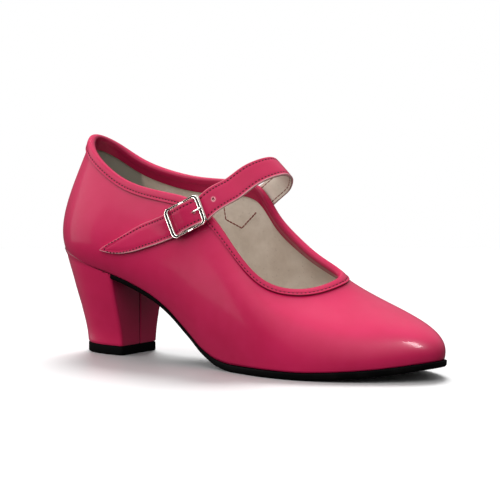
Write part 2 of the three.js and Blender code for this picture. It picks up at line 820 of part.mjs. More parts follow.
// Short tab that holds the buckle: folded round the centre bar, open at the middle for the prong
function makeTab() {
  const turnRadius = barLevel;
  const profile = new THREE.Shape()
    .moveTo(-tabLength, 0)
    .lineTo(0, 0)
    .absarc(0, barLevel, turnRadius, -Math.PI / 2, Math.PI * 0.62)
    .lineTo(-tabHeel, tabThickness)
    .lineTo(-tabLength, tabThickness);
  profile.holes.push(
    new THREE.Path().absarc(0, barLevel, centreBarRadius + pivotClearance, 0, 2 * Math.PI),
  );
  const body = new THREE.ExtrudeGeometry(profile, {
    depth: tabWidth,
    bevelEnabled: false,
    curveSegments: 8,
  }).translate(0, 0, -tabWidth / 2);
  const slotWidth = 2 * (prongRadius + clearance);
  const slotBack = eyeRadius + clearance;
  const slot = new THREE.BoxGeometry(2 * slotBack + tabThickness, 4 * barLevel, slotWidth)
    .translate(tabThickness / 2, barLevel, 0);
  return inBuckle(fromSolid(toSolid(body).subtract(toSolid(slot))));
}

const shoe = new THREE.Group();
const pieces = [
  ['upper', makeUpper, leather],
  ['topline_binding', makeBinding, leatherDeep],
  ['insole', makeInsole, lining],
  ['outsole', makeOutsole, soleBlack],
  ['heel', makeHeel, leather],
  ['heel_lift', makeLift, soleBlack],
  ['strap', makeStrap, leather],
  ['buckle_frame', makeFrame, nickel],
  ['buckle_prong', makeProng, nickel],
  ['buckle_tab', makeTab, leatherDeep],
];
for (const [name, make, look] of pieces) {
  const mesh = new THREE.Mesh(make(), new THREE.MeshStandardMaterial(look));
  mesh.name = name;
  shoe.add(mesh);
}

// The shoe's own zero lies on the floor under the middle of the heel lift
shoe.position.x = liftLength / 2 - seatLength;

export default shoe;
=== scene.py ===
import math

import bmesh
import bpy
import numpy as np
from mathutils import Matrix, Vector


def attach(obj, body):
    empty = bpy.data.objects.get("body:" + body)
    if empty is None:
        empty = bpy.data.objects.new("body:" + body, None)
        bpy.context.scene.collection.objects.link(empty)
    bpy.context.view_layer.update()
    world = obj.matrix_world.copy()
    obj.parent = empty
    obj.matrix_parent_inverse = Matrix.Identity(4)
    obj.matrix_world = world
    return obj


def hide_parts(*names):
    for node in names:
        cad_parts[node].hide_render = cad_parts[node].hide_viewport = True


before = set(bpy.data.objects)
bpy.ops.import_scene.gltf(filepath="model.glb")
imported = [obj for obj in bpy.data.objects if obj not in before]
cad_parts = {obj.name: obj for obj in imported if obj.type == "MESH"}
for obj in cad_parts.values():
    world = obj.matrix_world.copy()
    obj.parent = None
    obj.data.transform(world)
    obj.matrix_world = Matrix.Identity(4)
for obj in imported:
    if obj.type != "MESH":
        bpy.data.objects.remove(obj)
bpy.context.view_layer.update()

print("frame loaded:", len(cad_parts), "solids")

# Lengths below are millimetres on the last, whose zero is the back of the seat. The shoe's own
# zero lies under the middle of the heel lift.
last = dict(length=229, ballWidth=76, heelHeight=52.4, counterHeight=62, zeroAt=27.7)
gap = 0.3
nudge = 1e-3

# feather edge, back to toe: along, lateral half width, medial half width
outlineRows = [
    (0, 0, 0), (0.029, 0.187, 0.19), (0.095, 0.315, 0.31), (0.19, 0.335, 0.305),
    (0.3, 0.325, 0.265), (0.405, 0.33, 0.24), (0.505, 0.385, 0.275), (0.6, 0.46, 0.36),
    (0.69, 0.5, 0.44), (0.775, 0.475, 0.475), (0.865, 0.365, 0.44), (0.955, 0.15, 0.29),
    (1, -0.07, 0.07),
]
# topline in the same rows: along lateral, along medial, half widths, rises
toplineRows = [
    (0.06, 0.06, 0, 0, 0.995, 0.995), (0.087, 0.086, 0.143, 0.152, 0.93, 0.938),
    (0.144, 0.14, 0.225, 0.232, 0.839, 0.839), (0.216, 0.218, 0.272, 0.263, 0.792, 0.822),
    (0.3, 0.305, 0.315, 0.276, 0.871, 0.921), (0.388, 0.393, 0.35, 0.293, 1.105, 1.183),
    (0.453, 0.462, 0.372, 0.304, 1.261, 1.348), (0.511, 0.513, 0.384, 0.285, 1.128, 1.172),
    (0.565, 0.565, 0.384, 0.26, 0.913, 1.014), (0.616, 0.618, 0.352, 0.228, 0.716, 0.893),
    (0.664, 0.668, 0.255, 0.198, 0.6, 0.785), (0.707, 0.712, 0.09, 0.17, 0.558, 0.674),
    (0.733, 0.733, -0.065, 0.07, 0.596, 0.596),
]
# swell of the wall in the same rows: foot bulge, foot height, top bulge, top height
swellRows = [
    (0.108, 0.28, 0.1, 0.35), (0.112, 0.28, 0.1, 0.35), (0.12, 0.3, 0.1, 0.35),
    (0.12, 0.3, 0.09, 0.35), (0.12, 0.32, 0.07, 0.33), (0.13, 0.35, 0.06, 0.3),
    (0.12, 0.38, 0.05, 0.28), (0.09, 0.4, 0.06, 0.26), (0.06, 0.42, 0.09, 0.25),
    (0.04, 0.44, 0.13, 0.27), (0.045, 0.47, 0.205, 0.345), (0.062, 0.5, 0.28, 0.44),
    (0.076, 0.5, 0.3, 0.49),
]
# underside of the last: along, share of what the heel lifts it
undersideRows = [
    (0, 1), (0.1, 0.925), (0.2, 0.82), (0.3, 0.65), (0.345, 0.53), (0.41, 0.29),
    (0.46, 0.115), (0.51, 0.025), (0.56, 0), (0.74, 0), (0.82, 0.018), (0.9, 0.05),
    (1.01, 0.13),
]


# Closed curves of period 1 through evenly spaced values, one per column: a cubic B-spline whose
# control values solve (before + 4 here + after) / 6 = value
def closedCurves(values):
    values = np.asarray(values, float)
    count = len(values)
    here = np.eye(count)
    control = np.linalg.solve((4 * here + np.roll(here, 1, 1) + np.roll(here, -1, 1)) / 6, values)

    def at(u):
        place = (u - np.floor(u)) * count
        i = np.floor(place).astype(int) % count
        f = (place - np.floor(place))[..., None]
        g = 1 - f
        a, b, c, d = (control[(i + step) % count] for step in (-1, 0, 1, 2))
        inner = b * (3 * f**3 - 6 * f**2 + 4) + c * (3 * g**3 - 6 * g**2 + 4)
        return (a * g**3 + inner + d * f**3) / 6
    return at


# Curve through unevenly spaced values that never overshoots: cubic pieces whose slopes are
# harmonic means of the slopes on both sides, level where those differ in sign
def steadyCurve(xs, ys):
    xs, ys = np.asarray(xs, float), np.asarray(ys, float)
    step = np.diff(xs)
    slope = np.diff(ys) / step
    near, far = 2 * step[1:] + step[:-1], step[1:] + 2 * step[:-1]
    turning = slope[:-1] * slope[1:] <= 0
    before = np.where(turning, 1, slope[:-1])
    after = np.where(turning, 1, slope[1:])
    inside = np.where(turning, 0, (near + far) / (near / before + far / after))
    tangent = np.concatenate([slope[:1], inside, slope[-1:]])

    def at(x):
        x = np.clip(x, xs[0], xs[-1])
        i = np.clip(np.searchsorted(xs, x, side="right") - 1, 0, len(step) - 1)
        f = (x - xs[i]) / step[i]
        g = 1 - f
        ends = ys[i] * (1 + 2 * f) * g**2 + ys[i + 1] * (1 + 2 * g) * f**2
        return ends + step[i] * f * g * (tangent[i] * g - tangent[i + 1] * f)
    return at


# Open curve through evenly numbered values: each stretch is a cubic shaped by its four
# neighbours, and both ends run on straight
def openCurve(values):
    values = np.asarray(values, float)
    longer = np.concatenate([[2 * values[0] - values[1]], values, [2 * values[-1] - values[-2]]])

    def at(place):
        i = np.clip(np.floor(place).astype(int), 0, len(values) - 2)
        f = place - i
        a, b, c, d = (longer[i + step] for step in range(4))
        bend = (2 * a - 5 * b + 4 * c - d) * f**2 + (3 * b - a - 3 * c + d) * f**3
        return b + ((c - a) * f + bend) / 2
    return at


# Place where a rising test stops holding, by halving
def lastBelow(low, high, isBelow):
    for _ in range(22):
        middle = (low + high) / 2
        below = isBelow(middle)
        low = np.where(below, middle, low)
        high = np.where(below, high, middle)
    return (low + high) / 2


def unit(vectors):
    return vectors / np.maximum(np.linalg.norm(vectors, axis=-1, keepdims=True), 1e-12)


def smoothStep(x, start, end):
    t = np.clip((x - start) / (end - start), 0, 1)
    return t * t * (3 - 2 * t)


bump = lambda x, middle, width: np.exp(-(((x - middle) / width) ** 2))  # bell of height 1
stacked = lambda *parts: np.stack(parts, -1)
fullTurn = lambda count: np.arange(count) * 2 * np.pi / count


# Distances walked along a line of points
def walkAlong(points):
    return np.concatenate([[0], np.linalg.norm(np.diff(points, axis=0), axis=1).cumsum()])


outline, topline = np.array(outlineRows), np.array(toplineRows)
swell, under = np.array(swellRows), np.array(undersideRows)
heightShare = steadyCurve(under[:, 0], under[:, 1])
soleThickness = 3.6


# Height of the last's underside: the sole, and what the heel lifts it by
def undersideAt(x):
    return soleThickness + (last["heelHeight"] - soleThickness) * heightShare(x / last["length"])


def aroundFoot(lateral, medial):
    return np.concatenate([lateral, medial[1:-1][::-1]])


edgeHeight = undersideAt(outline[:, 0] * last["length"])
footCurves = closedCurves(np.stack([
    aroundFoot(outline[:, 0], outline[:, 0]) * last["length"],
    aroundFoot(-outline[:, 1], outline[:, 2]) * last["ballWidth"],
    aroundFoot(topline[:, 0], topline[:, 1]) * last["length"],
    aroundFoot(-topline[:, 2], topline[:, 3]) * last["ballWidth"],
    aroundFoot(edgeHeight + topline[:, 4] * last["counterHeight"],
               edgeHeight + topline[:, 5] * last["counterHeight"]),
    aroundFoot(swell[:, 0], swell[:, 0]) * last["ballWidth"],
    aroundFoot(swell[:, 1], swell[:, 1]),
    aroundFoot(swell[:, 2], swell[:, 2]) * last["ballWidth"],
    aroundFoot(swell[:, 3], swell[:, 3]),
], axis=1))


# Four control points of the rib at u: feather edge, a point bulged out and up from it, a point
# bulged out and down from the topline, and the topline; with the feather edge's plan normal
def ribAt(u):
    edgeX, edgeY, topX, topY, topZ, footOut, footUp, topOut, topDown = np.moveaxis(footCurves(u), -1, 0)
    turn = footCurves(u + nudge) - footCurves(u - nudge)
    none = np.zeros_like(edgeX)
    footNormal = unit(stacked(turn[..., 1], -turn[..., 0], none))
    topNormal = unit(stacked(turn[..., 3], -turn[..., 2], none))
    foot = stacked(edgeX, edgeY, undersideAt(edgeX) + gap)
    top = stacked(topX, topY, topZ)
    rise = top[..., 2] - foot[..., 2]
    low = foot + footNormal * footOut[..., None] + stacked(none, none, footUp * rise)
    high = top + topNormal * topOut[..., None] - stacked(none, none, topDown * rise)
    return foot, low, high, top, footNormal


# Cubic Bezier of the rib at v, from 0 at the feather edge to 1 at the topline
def alongRib(rib, v):
    v = np.asarray(v, float)[..., None]
    w = 1 - v
    return rib[0] * w**3 + 3 * rib[1] * w * w * v + 3 * rib[2] * w * v * v + rib[3] * v**3


def upperPoint(u, v):
    return alongRib(ribAt(u), v)


def ribDirection(u, v):
    rib = ribAt(u)
    return unit(alongRib(rib, v + nudge) - alongRib(rib, v - nudge))


def upperNormal(u, v):
    aroundDirection = upperPoint(u + nudge, v) - upperPoint(u - nudge, v)
    return unit(np.cross(aroundDirection, ribDirection(u, v)))


# Point at a distance out from the upper's outside, inwards where it is negative
def skinPoint(u, v, out):
    return upperPoint(u, v) + upperNormal(u, v) * np.asarray(out, float)[..., None]


# v on each rib at distances below the topline, measured along the rib
def ribBelow(u, below):
    vs = np.linspace(1, 0, 81)
    points = alongRib([part[:, None] for part in ribAt(u)[:4]], vs[None, :])
    walk = np.linalg.norm(np.diff(points, axis=1), axis=-1).cumsum(axis=1)
    walk = np.concatenate([np.zeros((len(u), 1)), walk], axis=1)
    i = np.clip((walk[:, None, :] <= below[None, :, None]).sum(-1) - 1, 0, len(vs) - 2)
    rows = np.arange(len(u))[:, None]
    f = (below[None, :] - walk[rows, i]) / (walk[rows, i + 1] - walk[rows, i])
    return vs[i] + f * (vs[i + 1] - vs[i])


# Half breadth of the upper at a place seen from the side: halving along the foot, and at each
# step halving up the rib, which stops at the topline
def sideBreadth(x, z, side):
    def placed(share):
        rib = ribAt(share if side < 0 else 1 - share)
        v = lastBelow(np.zeros_like(z), np.ones_like(z), lambda v: alongRib(rib, v)[..., 2] < z)
        return alongRib(rib, v)
    share = lastBelow(np.zeros_like(x), np.full_like(x, 0.5), lambda s: placed(s)[..., 0] < x)
    return np.abs(placed(share)[..., 1])


def toFrame(points):
    return (np.asarray(points, float) - np.array([last["zeroAt"], 0, 0])) * 0.001


# Quads between neighbouring points of a grid of rows and columns
def gridFaces(rows, columns, wrapRows=False, wrapColumns=False):
    index = np.arange(rows * columns).reshape(rows, columns)
    if wrapRows:
        index = np.vstack([index, index[:1]])
    if wrapColumns:
        index = np.hstack([index, index[:, :1]])
    corners = [index[:-1, :-1], index[1:, :-1], index[1:, 1:], index[:-1, 1:]]
    return np.stack(corners, -1).reshape(-1, 4)


# Closed piece from one or more grids: equal points are merged, holes are capped and the faces
# turned outwards. marks are numbers kept at the points for the materials
def makePiece(name, grids, marks=None, sharpAngle=180):
    points, faces, start = [], [], 0
    for grid, wrapRows, wrapColumns in grids:
        rows, columns = grid.shape[:2]
        points.append(grid.reshape(-1, 3))
        faces.append(gridFaces(rows, columns, wrapRows, wrapColumns) + start)
        start += rows * columns
    mesh = bpy.data.meshes.new(name)
    mesh.from_pydata(toFrame(np.concatenate(points)).tolist(), [], np.concatenate(faces).tolist())
    for mark, values in (marks or {}).items():
        layer = mesh.attributes.new(mark, "FLOAT", "POINT")
        layer.data.foreach_set("value", np.asarray(values, np.float32).ravel())
    body = bmesh.new()
    body.from_mesh(mesh)
    bmesh.ops.remove_doubles(body, verts=body.verts, dist=1e-6)
    rim = [edge for edge in body.edges if edge.is_boundary]
    if rim:
        bmesh.ops.holes_fill(body, edges=rim, sides=0)
        bmesh.ops.triangulate(body, faces=[face for face in body.faces if len(face.verts) > 4])
    bmesh.ops.recalc_face_normals(body, faces=body.faces)
    body.to_mesh(mesh)
    body.free()
    mesh.polygons.foreach_set("use_smooth", np.ones(len(mesh.polygons), bool))
    if sharpAngle < 180:
        mesh.set_sharp_from_angle(angle=math.radians(sharpAngle))
    piece = bpy.data.objects.new(name, mesh)
    bpy.context.scene.collection.objects.link(piece)
    return piece


# Piece with its material and its body; the nodes that it stands for are hidden
def addPiece(name, grids, material, replaces=(), marks=None, sharpAngle=180):
    piece = makePiece(name, grids, marks, sharpAngle)
    piece.data.materials.append(material)
    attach(piece, "root")
    if replaces:
        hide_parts(*replaces)
    return piece


# Socket that takes part in expressions on numbers: each operator adds its Math node
class Wire:
    def __init__(self, finish, socket):
        self.finish, self.socket = finish, socket

    def math(self, operation, *values):
        return self.finish.node("ShaderNodeMath", dict(operation=operation), dict(enumerate(values)))

    def __add__(self, other):
        return self.math("ADD", self, other)

    def __mul__(self, other):
        return self.math("MULTIPLY", self, other)

    __radd__, __rmul__ = __add__, __mul__

    # rises smoothly from 0 at start to 1 at end
    def between(self, start, end):
        settings = dict(interpolation_type="SMOOTHSTEP")
        return self.finish.node("ShaderNodeMapRange", settings, {0: self, 1: start, 2: end})


# Nodes of one material, or of the world. node() adds a node of a type: its settings come first,
# then the values or links of its sockets, by name or number
class Finish:
    def __init__(self, name, owner=None, coordinates="Object"):
        self.owner = owner or bpy.data.materials.new(name)
        self.owner.use_nodes = True
        self.tree = self.owner.node_tree
        self.tree.nodes.clear()
        self.place = self.node("ShaderNodeTexCoord", output=coordinates)

    def node(self, kind, settings=None, inputs=None, output=0):
        made = self.tree.nodes.new(kind)
        for name, value in (settings or {}).items():
            setattr(made, name, value)
        for name, value in (inputs or {}).items():
            if isinstance(value, Wire):
                self.tree.links.new(value.socket, made.inputs[name])
            else:
                made.inputs[name].default_value = value
        return Wire(self, made.outputs[output]) if made.outputs else None

    def noise(self, scale, detail=2, roughness=0.5, distortion=0.0):
        values = dict(Vector=self.place, Scale=scale, Detail=detail, Roughness=roughness,
                      Distortion=distortion)
        return self.node("ShaderNodeTexNoise", None, values, "Fac")

    def pores(self, scale):
        values = dict(Vector=self.place, Scale=scale, Smoothness=0.6)
        return self.node("ShaderNodeTexVoronoi", dict(feature="SMOOTH_F1"), values, "Distance")

    def mark(self, name):
        return self.node("ShaderNodeAttribute", dict(attribute_name=name), None, "Fac")

    # colour between two, by a share
    def mix(self, share, first, second):
        return self.node("ShaderNodeMix", dict(data_type="RGBA"), {0: share, 6: first, 7: second}, 2)

    # shader with its normal bumped by a height in millimetres
    def surface(self, height=None, **inputs):
        if height is not None:
            values = dict(Height=height, Distance=0.001, Strength=1.0)
            inputs["Normal"] = self.node("ShaderNodeBump", None, values)
        named = {name.replace("_", " "): value for name, value in inputs.items()}
        shader = self.node("ShaderNodeBsdfPrincipled", None, named)
        self.node("ShaderNodeOutputMaterial", None, {"Surface": shader})
        return self.owner


colour = lambda r, g, b: (r, g, b, 1.0)
# Tones of the calf. seam is the near-black of painted shade, which the shade mark mixes in along seams,
# grooves, the binding's edges and the heel cup's edge
leatherTones = dict(
    deep=colour(0.40, 0.007, 0.053), face=colour(0.50, 0.012, 0.076), worn=colour(0.57, 0.026, 0.120),
    cut=colour(0.92, 0.52, 0.54), seam=colour(0.035, 0.001, 0.004),
)


# Semi-gloss dyed calf: slow drifts of tone, a fine closed grain and faint creases, painted shade where
# the shade mark is set, and pale cut edges
def calfLeather(name, deepen=0.0, gloss=0.36, crease=0.012):
    finish = Finish(name)
    drift = finish.noise(26, 3).between(0.3, 0.75)
    cloud = finish.noise(140, 2).between(0.35, 0.75)
    tone = finish.mix(drift * 0.55, leatherTones["face"], leatherTones["deep"])
    tone = finish.mix(cloud * 0.12, tone, leatherTones["worn"])
    # painted shade: darkened towards the seam tone where the shade mark is set
    tone = finish.mix(finish.mark("shade") * 0.85, tone, leatherTones["seam"])
    tone = finish.mix(finish.mark("cutEdge"), tone, leatherTones["cut"])
    if deepen:
        tone = finish.mix(deepen, tone, leatherTones["deep"])
    grain = finish.pores(1900) * 0.006 + finish.noise(900, 2) * 0.004
    folds = finish.noise(160, 3, 0.6, 0.4) * crease
    rough = finish.noise(60, 2) * 0.08 + finish.pores(1900) * 0.05 + (gloss - 0.06)
    rough = rough + finish.mark("cutEdge") * 0.35
    return finish.surface(grain + folds, Base_Color=tone, Roughness=rough, Coat_Weight=0.3,
                          Coat_Roughness=0.12, Specular_IOR_Level=0.2)


# Napped lining: short fibres, dusty blotches and the darker heel counter pocket
def nappedLining(name):
    finish = Finish(name)
    blotch = finish.noise(42, 4, 0.62).between(0.35, 0.7)
    speck = finish.noise(700, 2, 0.7).between(0.62, 0.72)
    tone = finish.mix(blotch, colour(0.50, 0.42, 0.34), colour(0.64, 0.57, 0.48))
    tone = finish.mix(finish.mark("counter") * 0.85, tone, colour(0.22, 0.225, 0.185))
    tone = finish.mix(speck * 0.3, tone, colour(0.24, 0.18, 0.14))
    nap = finish.noise(1500, 3, 0.7) * 0.05 + finish.noise(260, 2) * 0.06
    return finish.surface(nap, Base_Color=tone, Roughness=0.88, Sheen_Weight=0.25)


# Black sole leather, slightly scuffed, with sanded streaks along the shoe
def soleBlack(name):
    finish = Finish(name)
    scuff = finish.noise(90, 4, 0.65).between(0.45, 0.75)
    stretched = finish.node("ShaderNodeMapping", None, dict(Vector=finish.place, Scale=(30, 500, 500)))
    streak = finish.node("ShaderNodeTexNoise", None, dict(Vector=stretched, Scale=1.0, Detail=2.0), "Fac")
    tone = finish.mix(scuff * 0.5, colour(0.002, 0.002, 0.002), colour(0.008, 0.007, 0.007))
    rough = scuff * 0.18 + streak * 0.1 + 0.45
    return finish.surface(streak * 0.015 + finish.noise(800) * 0.01, Base_Color=tone, Roughness=rough,
                          Specular_IOR_Level=0.04)


# Moulded rubber: near black, even, finely stippled
def liftRubber(name):
    finish = Finish(name)
    stipple = finish.pores(1500) * 0.02 + finish.noise(500) * 0.015
    tone = finish.mix(finish.noise(70, 3), colour(0.002, 0.002, 0.002), colour(0.005, 0.0045, 0.0045))
    return finish.surface(stipple, Base_Color=tone, Roughness=finish.noise(200) * 0.2 + 0.55,
                          Specular_IOR_Level=0.02)


# Polished nickel with hairline wear, darkened by painted shade where the shade mark is set
def polishedNickel(name):
    finish = Finish(name)
    wear = finish.noise(500, 3, 0.6).between(0.35, 0.8)
    tone = finish.mix(wear, colour(0.93, 0.89, 0.83), colour(0.84, 0.79, 0.73))
    tone = finish.mix(finish.mark("shade") * 0.98, tone, colour(0.006, 0.008, 0.006))
    rough = wear * 0.08 + finish.mark("shade") * 0.4 + 0.16
    return finish.surface(wear * 0.001, Base_Color=tone, Roughness=rough, Metallic=1.0)


# Twisted sewing thread
def sewingThread(name, dark, light):
    finish = Finish(name)
    tone = finish.mix(finish.noise(2200, 2), dark, light)
    return finish.surface(finish.noise(3800, 1) * 0.05, Base_Color=tone, Roughness=0.7)


upperCalf = calfLeather("upperCalf")
bindingCalf = calfLeather("bindingCalf", deepen=0.25, gloss=0.40, crease=0.03)
strapCalf = calfLeather("strapCalf", gloss=0.38, crease=0.02)
heelCalf = calfLeather("heelCalf", deepen=0.1, gloss=0.34, crease=0.008)
liningNap = nappedLining("liningNap")
soleLeather = soleBlack("soleLeather")
rubberLift = liftRubber("rubberLift")
nickel = polishedNickel("nickel")
threadCrimson = sewingThread("threadCrimson", colour(0.36, 0.012, 0.055), colour(0.50, 0.025, 0.10))
threadBrown = sewingThread("threadBrown", colour(0.15, 0.035, 0.03), colour(0.24, 0.07, 0.055))
# painted shade: near-black grains stand for the shadowed needle holes
needleHoleShade = sewingThread("needleHoleShade", colour(0.010, 0.0003, 0.0015), colour(0.022, 0.0008, 0.003))
print("materials made")

# Upper: the outer leather, and inside it the lining
shell = dict(around=360, rise=64, leather=1.0, glue=0.05, wall=1.8, featherWall=2.1, seamShare=0.06,
             seamDepth=0.22, seamWidth=0.35, shoulderHeight=0.10, shoulderOut=1.3, shoulderWidth=0.9,
             shadeWidth=0.3, shadeEnd=30, counterEnd=31, counterLean=0.15, counterTop=95)


# Wall between two distances into the upper: up the outer face, over the topline, down the inner
# face and across the feather edge
def wallSections(outside, inside, footOutside, footInside, relief=None):
    u = np.arange(shell["around"]) / shell["around"]
    v = np.linspace(0, 1, shell["rise"] + 1)
    uGrid, vGrid = np.meshgrid(u, v, indexing="ij")
    outer = skinPoint(uGrid, vGrid, outside + (relief(uGrid, vGrid) if relief else 0 * uGrid))
    inner = skinPoint(uGrid, vGrid, np.full_like(uGrid, inside))
    rib = ribAt(u)
    for face, setIn in ((outer, footOutside), (inner, footInside)):
        if setIn:
            foot = rib[0] - rib[4] * setIn
            foot[:, 2] = undersideAt(foot[:, 0]) + gap
            face[:, 0] = foot
    return np.concatenate([outer, inner[:, ::-1]], axis=1)


# Closed seam at the back: a narrow groove between two soft shoulders
def backSeam(u, v):
    fromSeam = np.abs(upperPoint(u, v)[..., 1] - upperPoint(0 * u, v)[..., 1])
    atBack = np.minimum(u, 1 - u) < shell["seamShare"]
    shoulder = bump(fromSeam, shell["shoulderOut"], shell["shoulderWidth"])
    groove = bump(fromSeam, 0, shell["seamWidth"])
    return atBack * (shoulder * shell["shoulderHeight"] - groove * shell["seamDepth"])


def makeUpper():
    leather = wallSections(0, -shell["leather"], 0, shell["leather"], backSeam)
    outerFace = np.arange(leather.shape[1]) <= shell["rise"]
    atBack = outerFace * (leather[..., 0] < shell["shadeEnd"])
    shade = 0.75 * bump(leather[..., 1], 0, shell["shadeWidth"]) * atBack
    addPiece("upperLeather", [(leather, True, True)], upperCalf, ["upper"],
             dict(shade=shade))

    under = shell["leather"] + shell["glue"]
    lining = wallSections(-under, -shell["wall"], under, shell["featherWall"])
    lean = shell["counterLean"] * (lining[..., 2] - shell["counterTop"])
    counter = 1 - smoothStep(lining[..., 0] - shell["counterEnd"] - lean, -0.4, 0.4)
    addPiece("upperLining", [(lining, True, True)], liningNap,
             marks=dict(counter=counter))


makeUpper()
print("upper made")

# Binding folded over the topline, stitched through both legs
binding = dict(around=720, thickness=0.8, outside=4.5, inside=7, wall=1.8, stitchLine=2.9, groove=0.14,
               grooveWidth=0.4, puff=0.14, crownRise=0.94, innerShade=0.6, edgeRound=0.35)
sewing = dict(pitch=2.2, thread=(1.452, 0.36, 0.26), hole=(1.2, 0.85, 0.3), lookAhead=0.3)


# Height of a leg's face over the skin at a distance below the topline: a soft pad, a shallow
# groove that the stitches pull in, and a rounded free edge
def legHeight(below, width, groove=0.0):
    pad = np.sin(np.pi * np.clip(below / binding["stitchLine"], 0, 1))
    face = gap + binding["thickness"] + binding["puff"] * pad
    face = face - groove * bump(below, binding["stitchLine"], binding["grooveWidth"])
    left = np.clip(width - below, 0, binding["edgeRound"]) / binding["edgeRound"]
    return face - 0.4 * (1 - np.sqrt(1 - (1 - left) ** 2))


# Loop round each rib: up the outer leg, over the crown, down the inner leg, and back along the
# wall a gap away from it
def makeBinding():
    wall, outside, inside = binding["wall"], binding["outside"], binding["inside"]
    far = gap + binding["thickness"]
    u = np.arange(binding["around"]) / binding["around"]
    edge = np.linspace(0, binding["edgeRound"], 5)
    legOut = np.concatenate([outside - edge, np.linspace(outside - 0.5, 0.25, 22)])
    legIn = np.concatenate([np.linspace(0.25, inside - 0.5, 24), inside - edge[::-1]])
    turn = np.linspace(0, np.pi, 15)
    crownOut = -wall / 2 + (wall / 2 + far) * np.cos(turn)
    crownUp = far * binding["crownRise"] * np.sin(turn)
    nearIn, nearOut = np.linspace(inside, 0.2, 6), np.linspace(0.2, outside, 6)
    below = np.concatenate([legOut, -crownUp, legIn, nearIn, [-gap, -gap], nearOut])
    out = np.concatenate([
        legHeight(legOut, outside, binding["groove"]), crownOut, -wall - legHeight(legIn, inside),
        0 * nearIn - wall - gap, [-wall - gap * 0.9, gap * 0.9], 0 * nearOut + gap,
    ])
    v = ribBelow(u, np.maximum(below, 0))
    points = skinPoint(*np.broadcast_arrays(u[:, None], v, out))
    points += ribDirection(u, np.ones_like(u))[:, None] * np.maximum(-below, 0)[:, None]
    shade = 0.95 * (below > outside - 0.2) * (out > 0)
    shade = np.maximum(shade, binding["innerShade"] * smoothStep(-out, wall - 0.6, wall + 0.4))
    addPiece("toplineBinding", [(points, True, True)], bindingCalf,
             ["topline_binding"], dict(shade=np.broadcast_to(shade, v.shape)))


# Grains laid along a line, in one mesh: each is a small egg with its long axis along the line and
# its height along the surface normal. shift moves the whole row by a share of the pitch
def grainPiece(name, points, normals, material, size, shift=0.5, closed=True):
    turn, rise = np.meshgrid(fullTurn(8), np.linspace(0, np.pi, 6), indexing="ij")
    grain = stacked(np.cos(rise), np.sin(rise) * np.cos(turn), np.sin(rise) * np.sin(turn))
    grain = grain * np.array(size) / 2
    if closed:
        points, normals = np.vstack([points, points[:1]]), np.vstack([normals, normals[:1]])
    walk = walkAlong(points)
    count = max(2, round(walk[-1] / sewing["pitch"]))
    places = (np.arange(count) + shift) * walk[-1] / count
    at = lambda values, where: stacked(*[np.interp(where, walk, axis) for axis in values.T])
    ahead = sewing["lookAhead"]
    along = unit(at(points, places + ahead) - at(points, places - ahead))
    across = unit(np.cross(at(normals, places), along))
    basis = np.stack([along, across, unit(np.cross(along, across))], 1)
    laid = grain[None] @ basis[:, None] + at(points, places)[:, None, None]
    return addPiece(name, [(one, True, False) for one in laid], material)


# Row of sewing: threads that lie along the leather, and between them near-black grains of painted shade
# for the needle holes
def sewnRow(name, points, normals):
    grainPiece(name + "Threads", points, normals, threadCrimson, sewing["thread"])
    grainPiece(name + "Holes", points, normals, needleHoleShade, sewing["hole"], shift=0.0)


def makeBindingStitches():
    u = np.arange(binding["around"]) / binding["around"]
    below = np.array([binding["stitchLine"]])
    v = ribBelow(u, below)[:, 0]
    level = legHeight(below, binding["outside"], binding["groove"])[0] + 0.03
    sewnRow("bindingSewing", skinPoint(u, v, np.full_like(u, level)), upperNormal(u, v))


makeBinding()
makeBindingStitches()
print("binding made")

# Bottom: insole with its sock, thin outsole, and the heel with its lift
bottom = dict(insole=2.2, waist=2.5, edge=1.2, bevel=0.7, seatLength=44, liftLength=32.6,
              liftWidth=29.8, liftThickness=5, cornerRound=1.5, liftRound=2.0, sockDip=0.3,
              seamStep=0.16, seamDepth=0.35, cupRise=3.4, cupOut=0.45, cupRings=5, breastPoints=61)
treadRows = np.array([
    (0.18, 0, 0), (0.42, 0, 0.1), (0.52, 0.8, 0.5), (0.57, 1, 0.75),
    (0.66, 1, 1), (0.8, 1, 1), (1.01, 0.6, 1),
])
heelRows = np.array([(0, 0), (0.05, 0.05), (0.33, 0.34), (0.63, 0.70), (0.88, 0.94), (1, 1)])
treadThickness = steadyCurve(treadRows[:, 0], treadRows[:, 1])
treadEdge = steadyCurve(treadRows[:, 0], treadRows[:, 2])
heelDrawn = steadyCurve(heelRows[:, 0], heelRows[:, 1])
edgeX = lambda u: footCurves(u)[..., 0]
edgeY = lambda u: footCurves(u)[..., 1]
breast = float(lastBelow(np.array(0.0), np.array(0.5), lambda u: edgeX(u) < bottom["seatLength"]))


# Feather edge moved out by a distance, on the underside
def bottomEdge(u, out):
    rib = ribAt(u)
    point = rib[0] + rib[4] * np.asarray(out, float)[..., None]
    point[..., 2] = undersideAt(point[..., 0])
    return point


# Rungs across the foot between the lateral edge at u and the medial edge at 1 - u
def rungs(u, out, shares):
    lateral, medial = bottomEdge(u, out), bottomEdge(1 - u, out)
    share = shares[None, :, None]
    points = lateral[:, None] * (1 - share) + medial[:, None] * share
    points[..., 2] = undersideAt(points[..., 0])
    return points


# Insole: rungs over the top and back under it. The sock dips by the square of a parabola that is
# 1 in the middle of the rung
def makeInsole():
    u = (1 - np.cos(np.linspace(0, np.pi, 160))) / 4
    shares = np.linspace(0, 1, 29)
    inset = np.full_like(u, -(shell["featherWall"] + gap))
    top, low = rungs(u, inset, shares), rungs(u, inset, shares[::-1])
    top[..., 2] += gap + bottom["insole"] - bottom["sockDip"] * (4 * shares * (1 - shares))**2
    low[..., 2] += gap
    addPiece("sockInsole", [(np.concatenate([top, low], axis=1), False, True)], liningNap,
             ["insole"], sharpAngle=50)


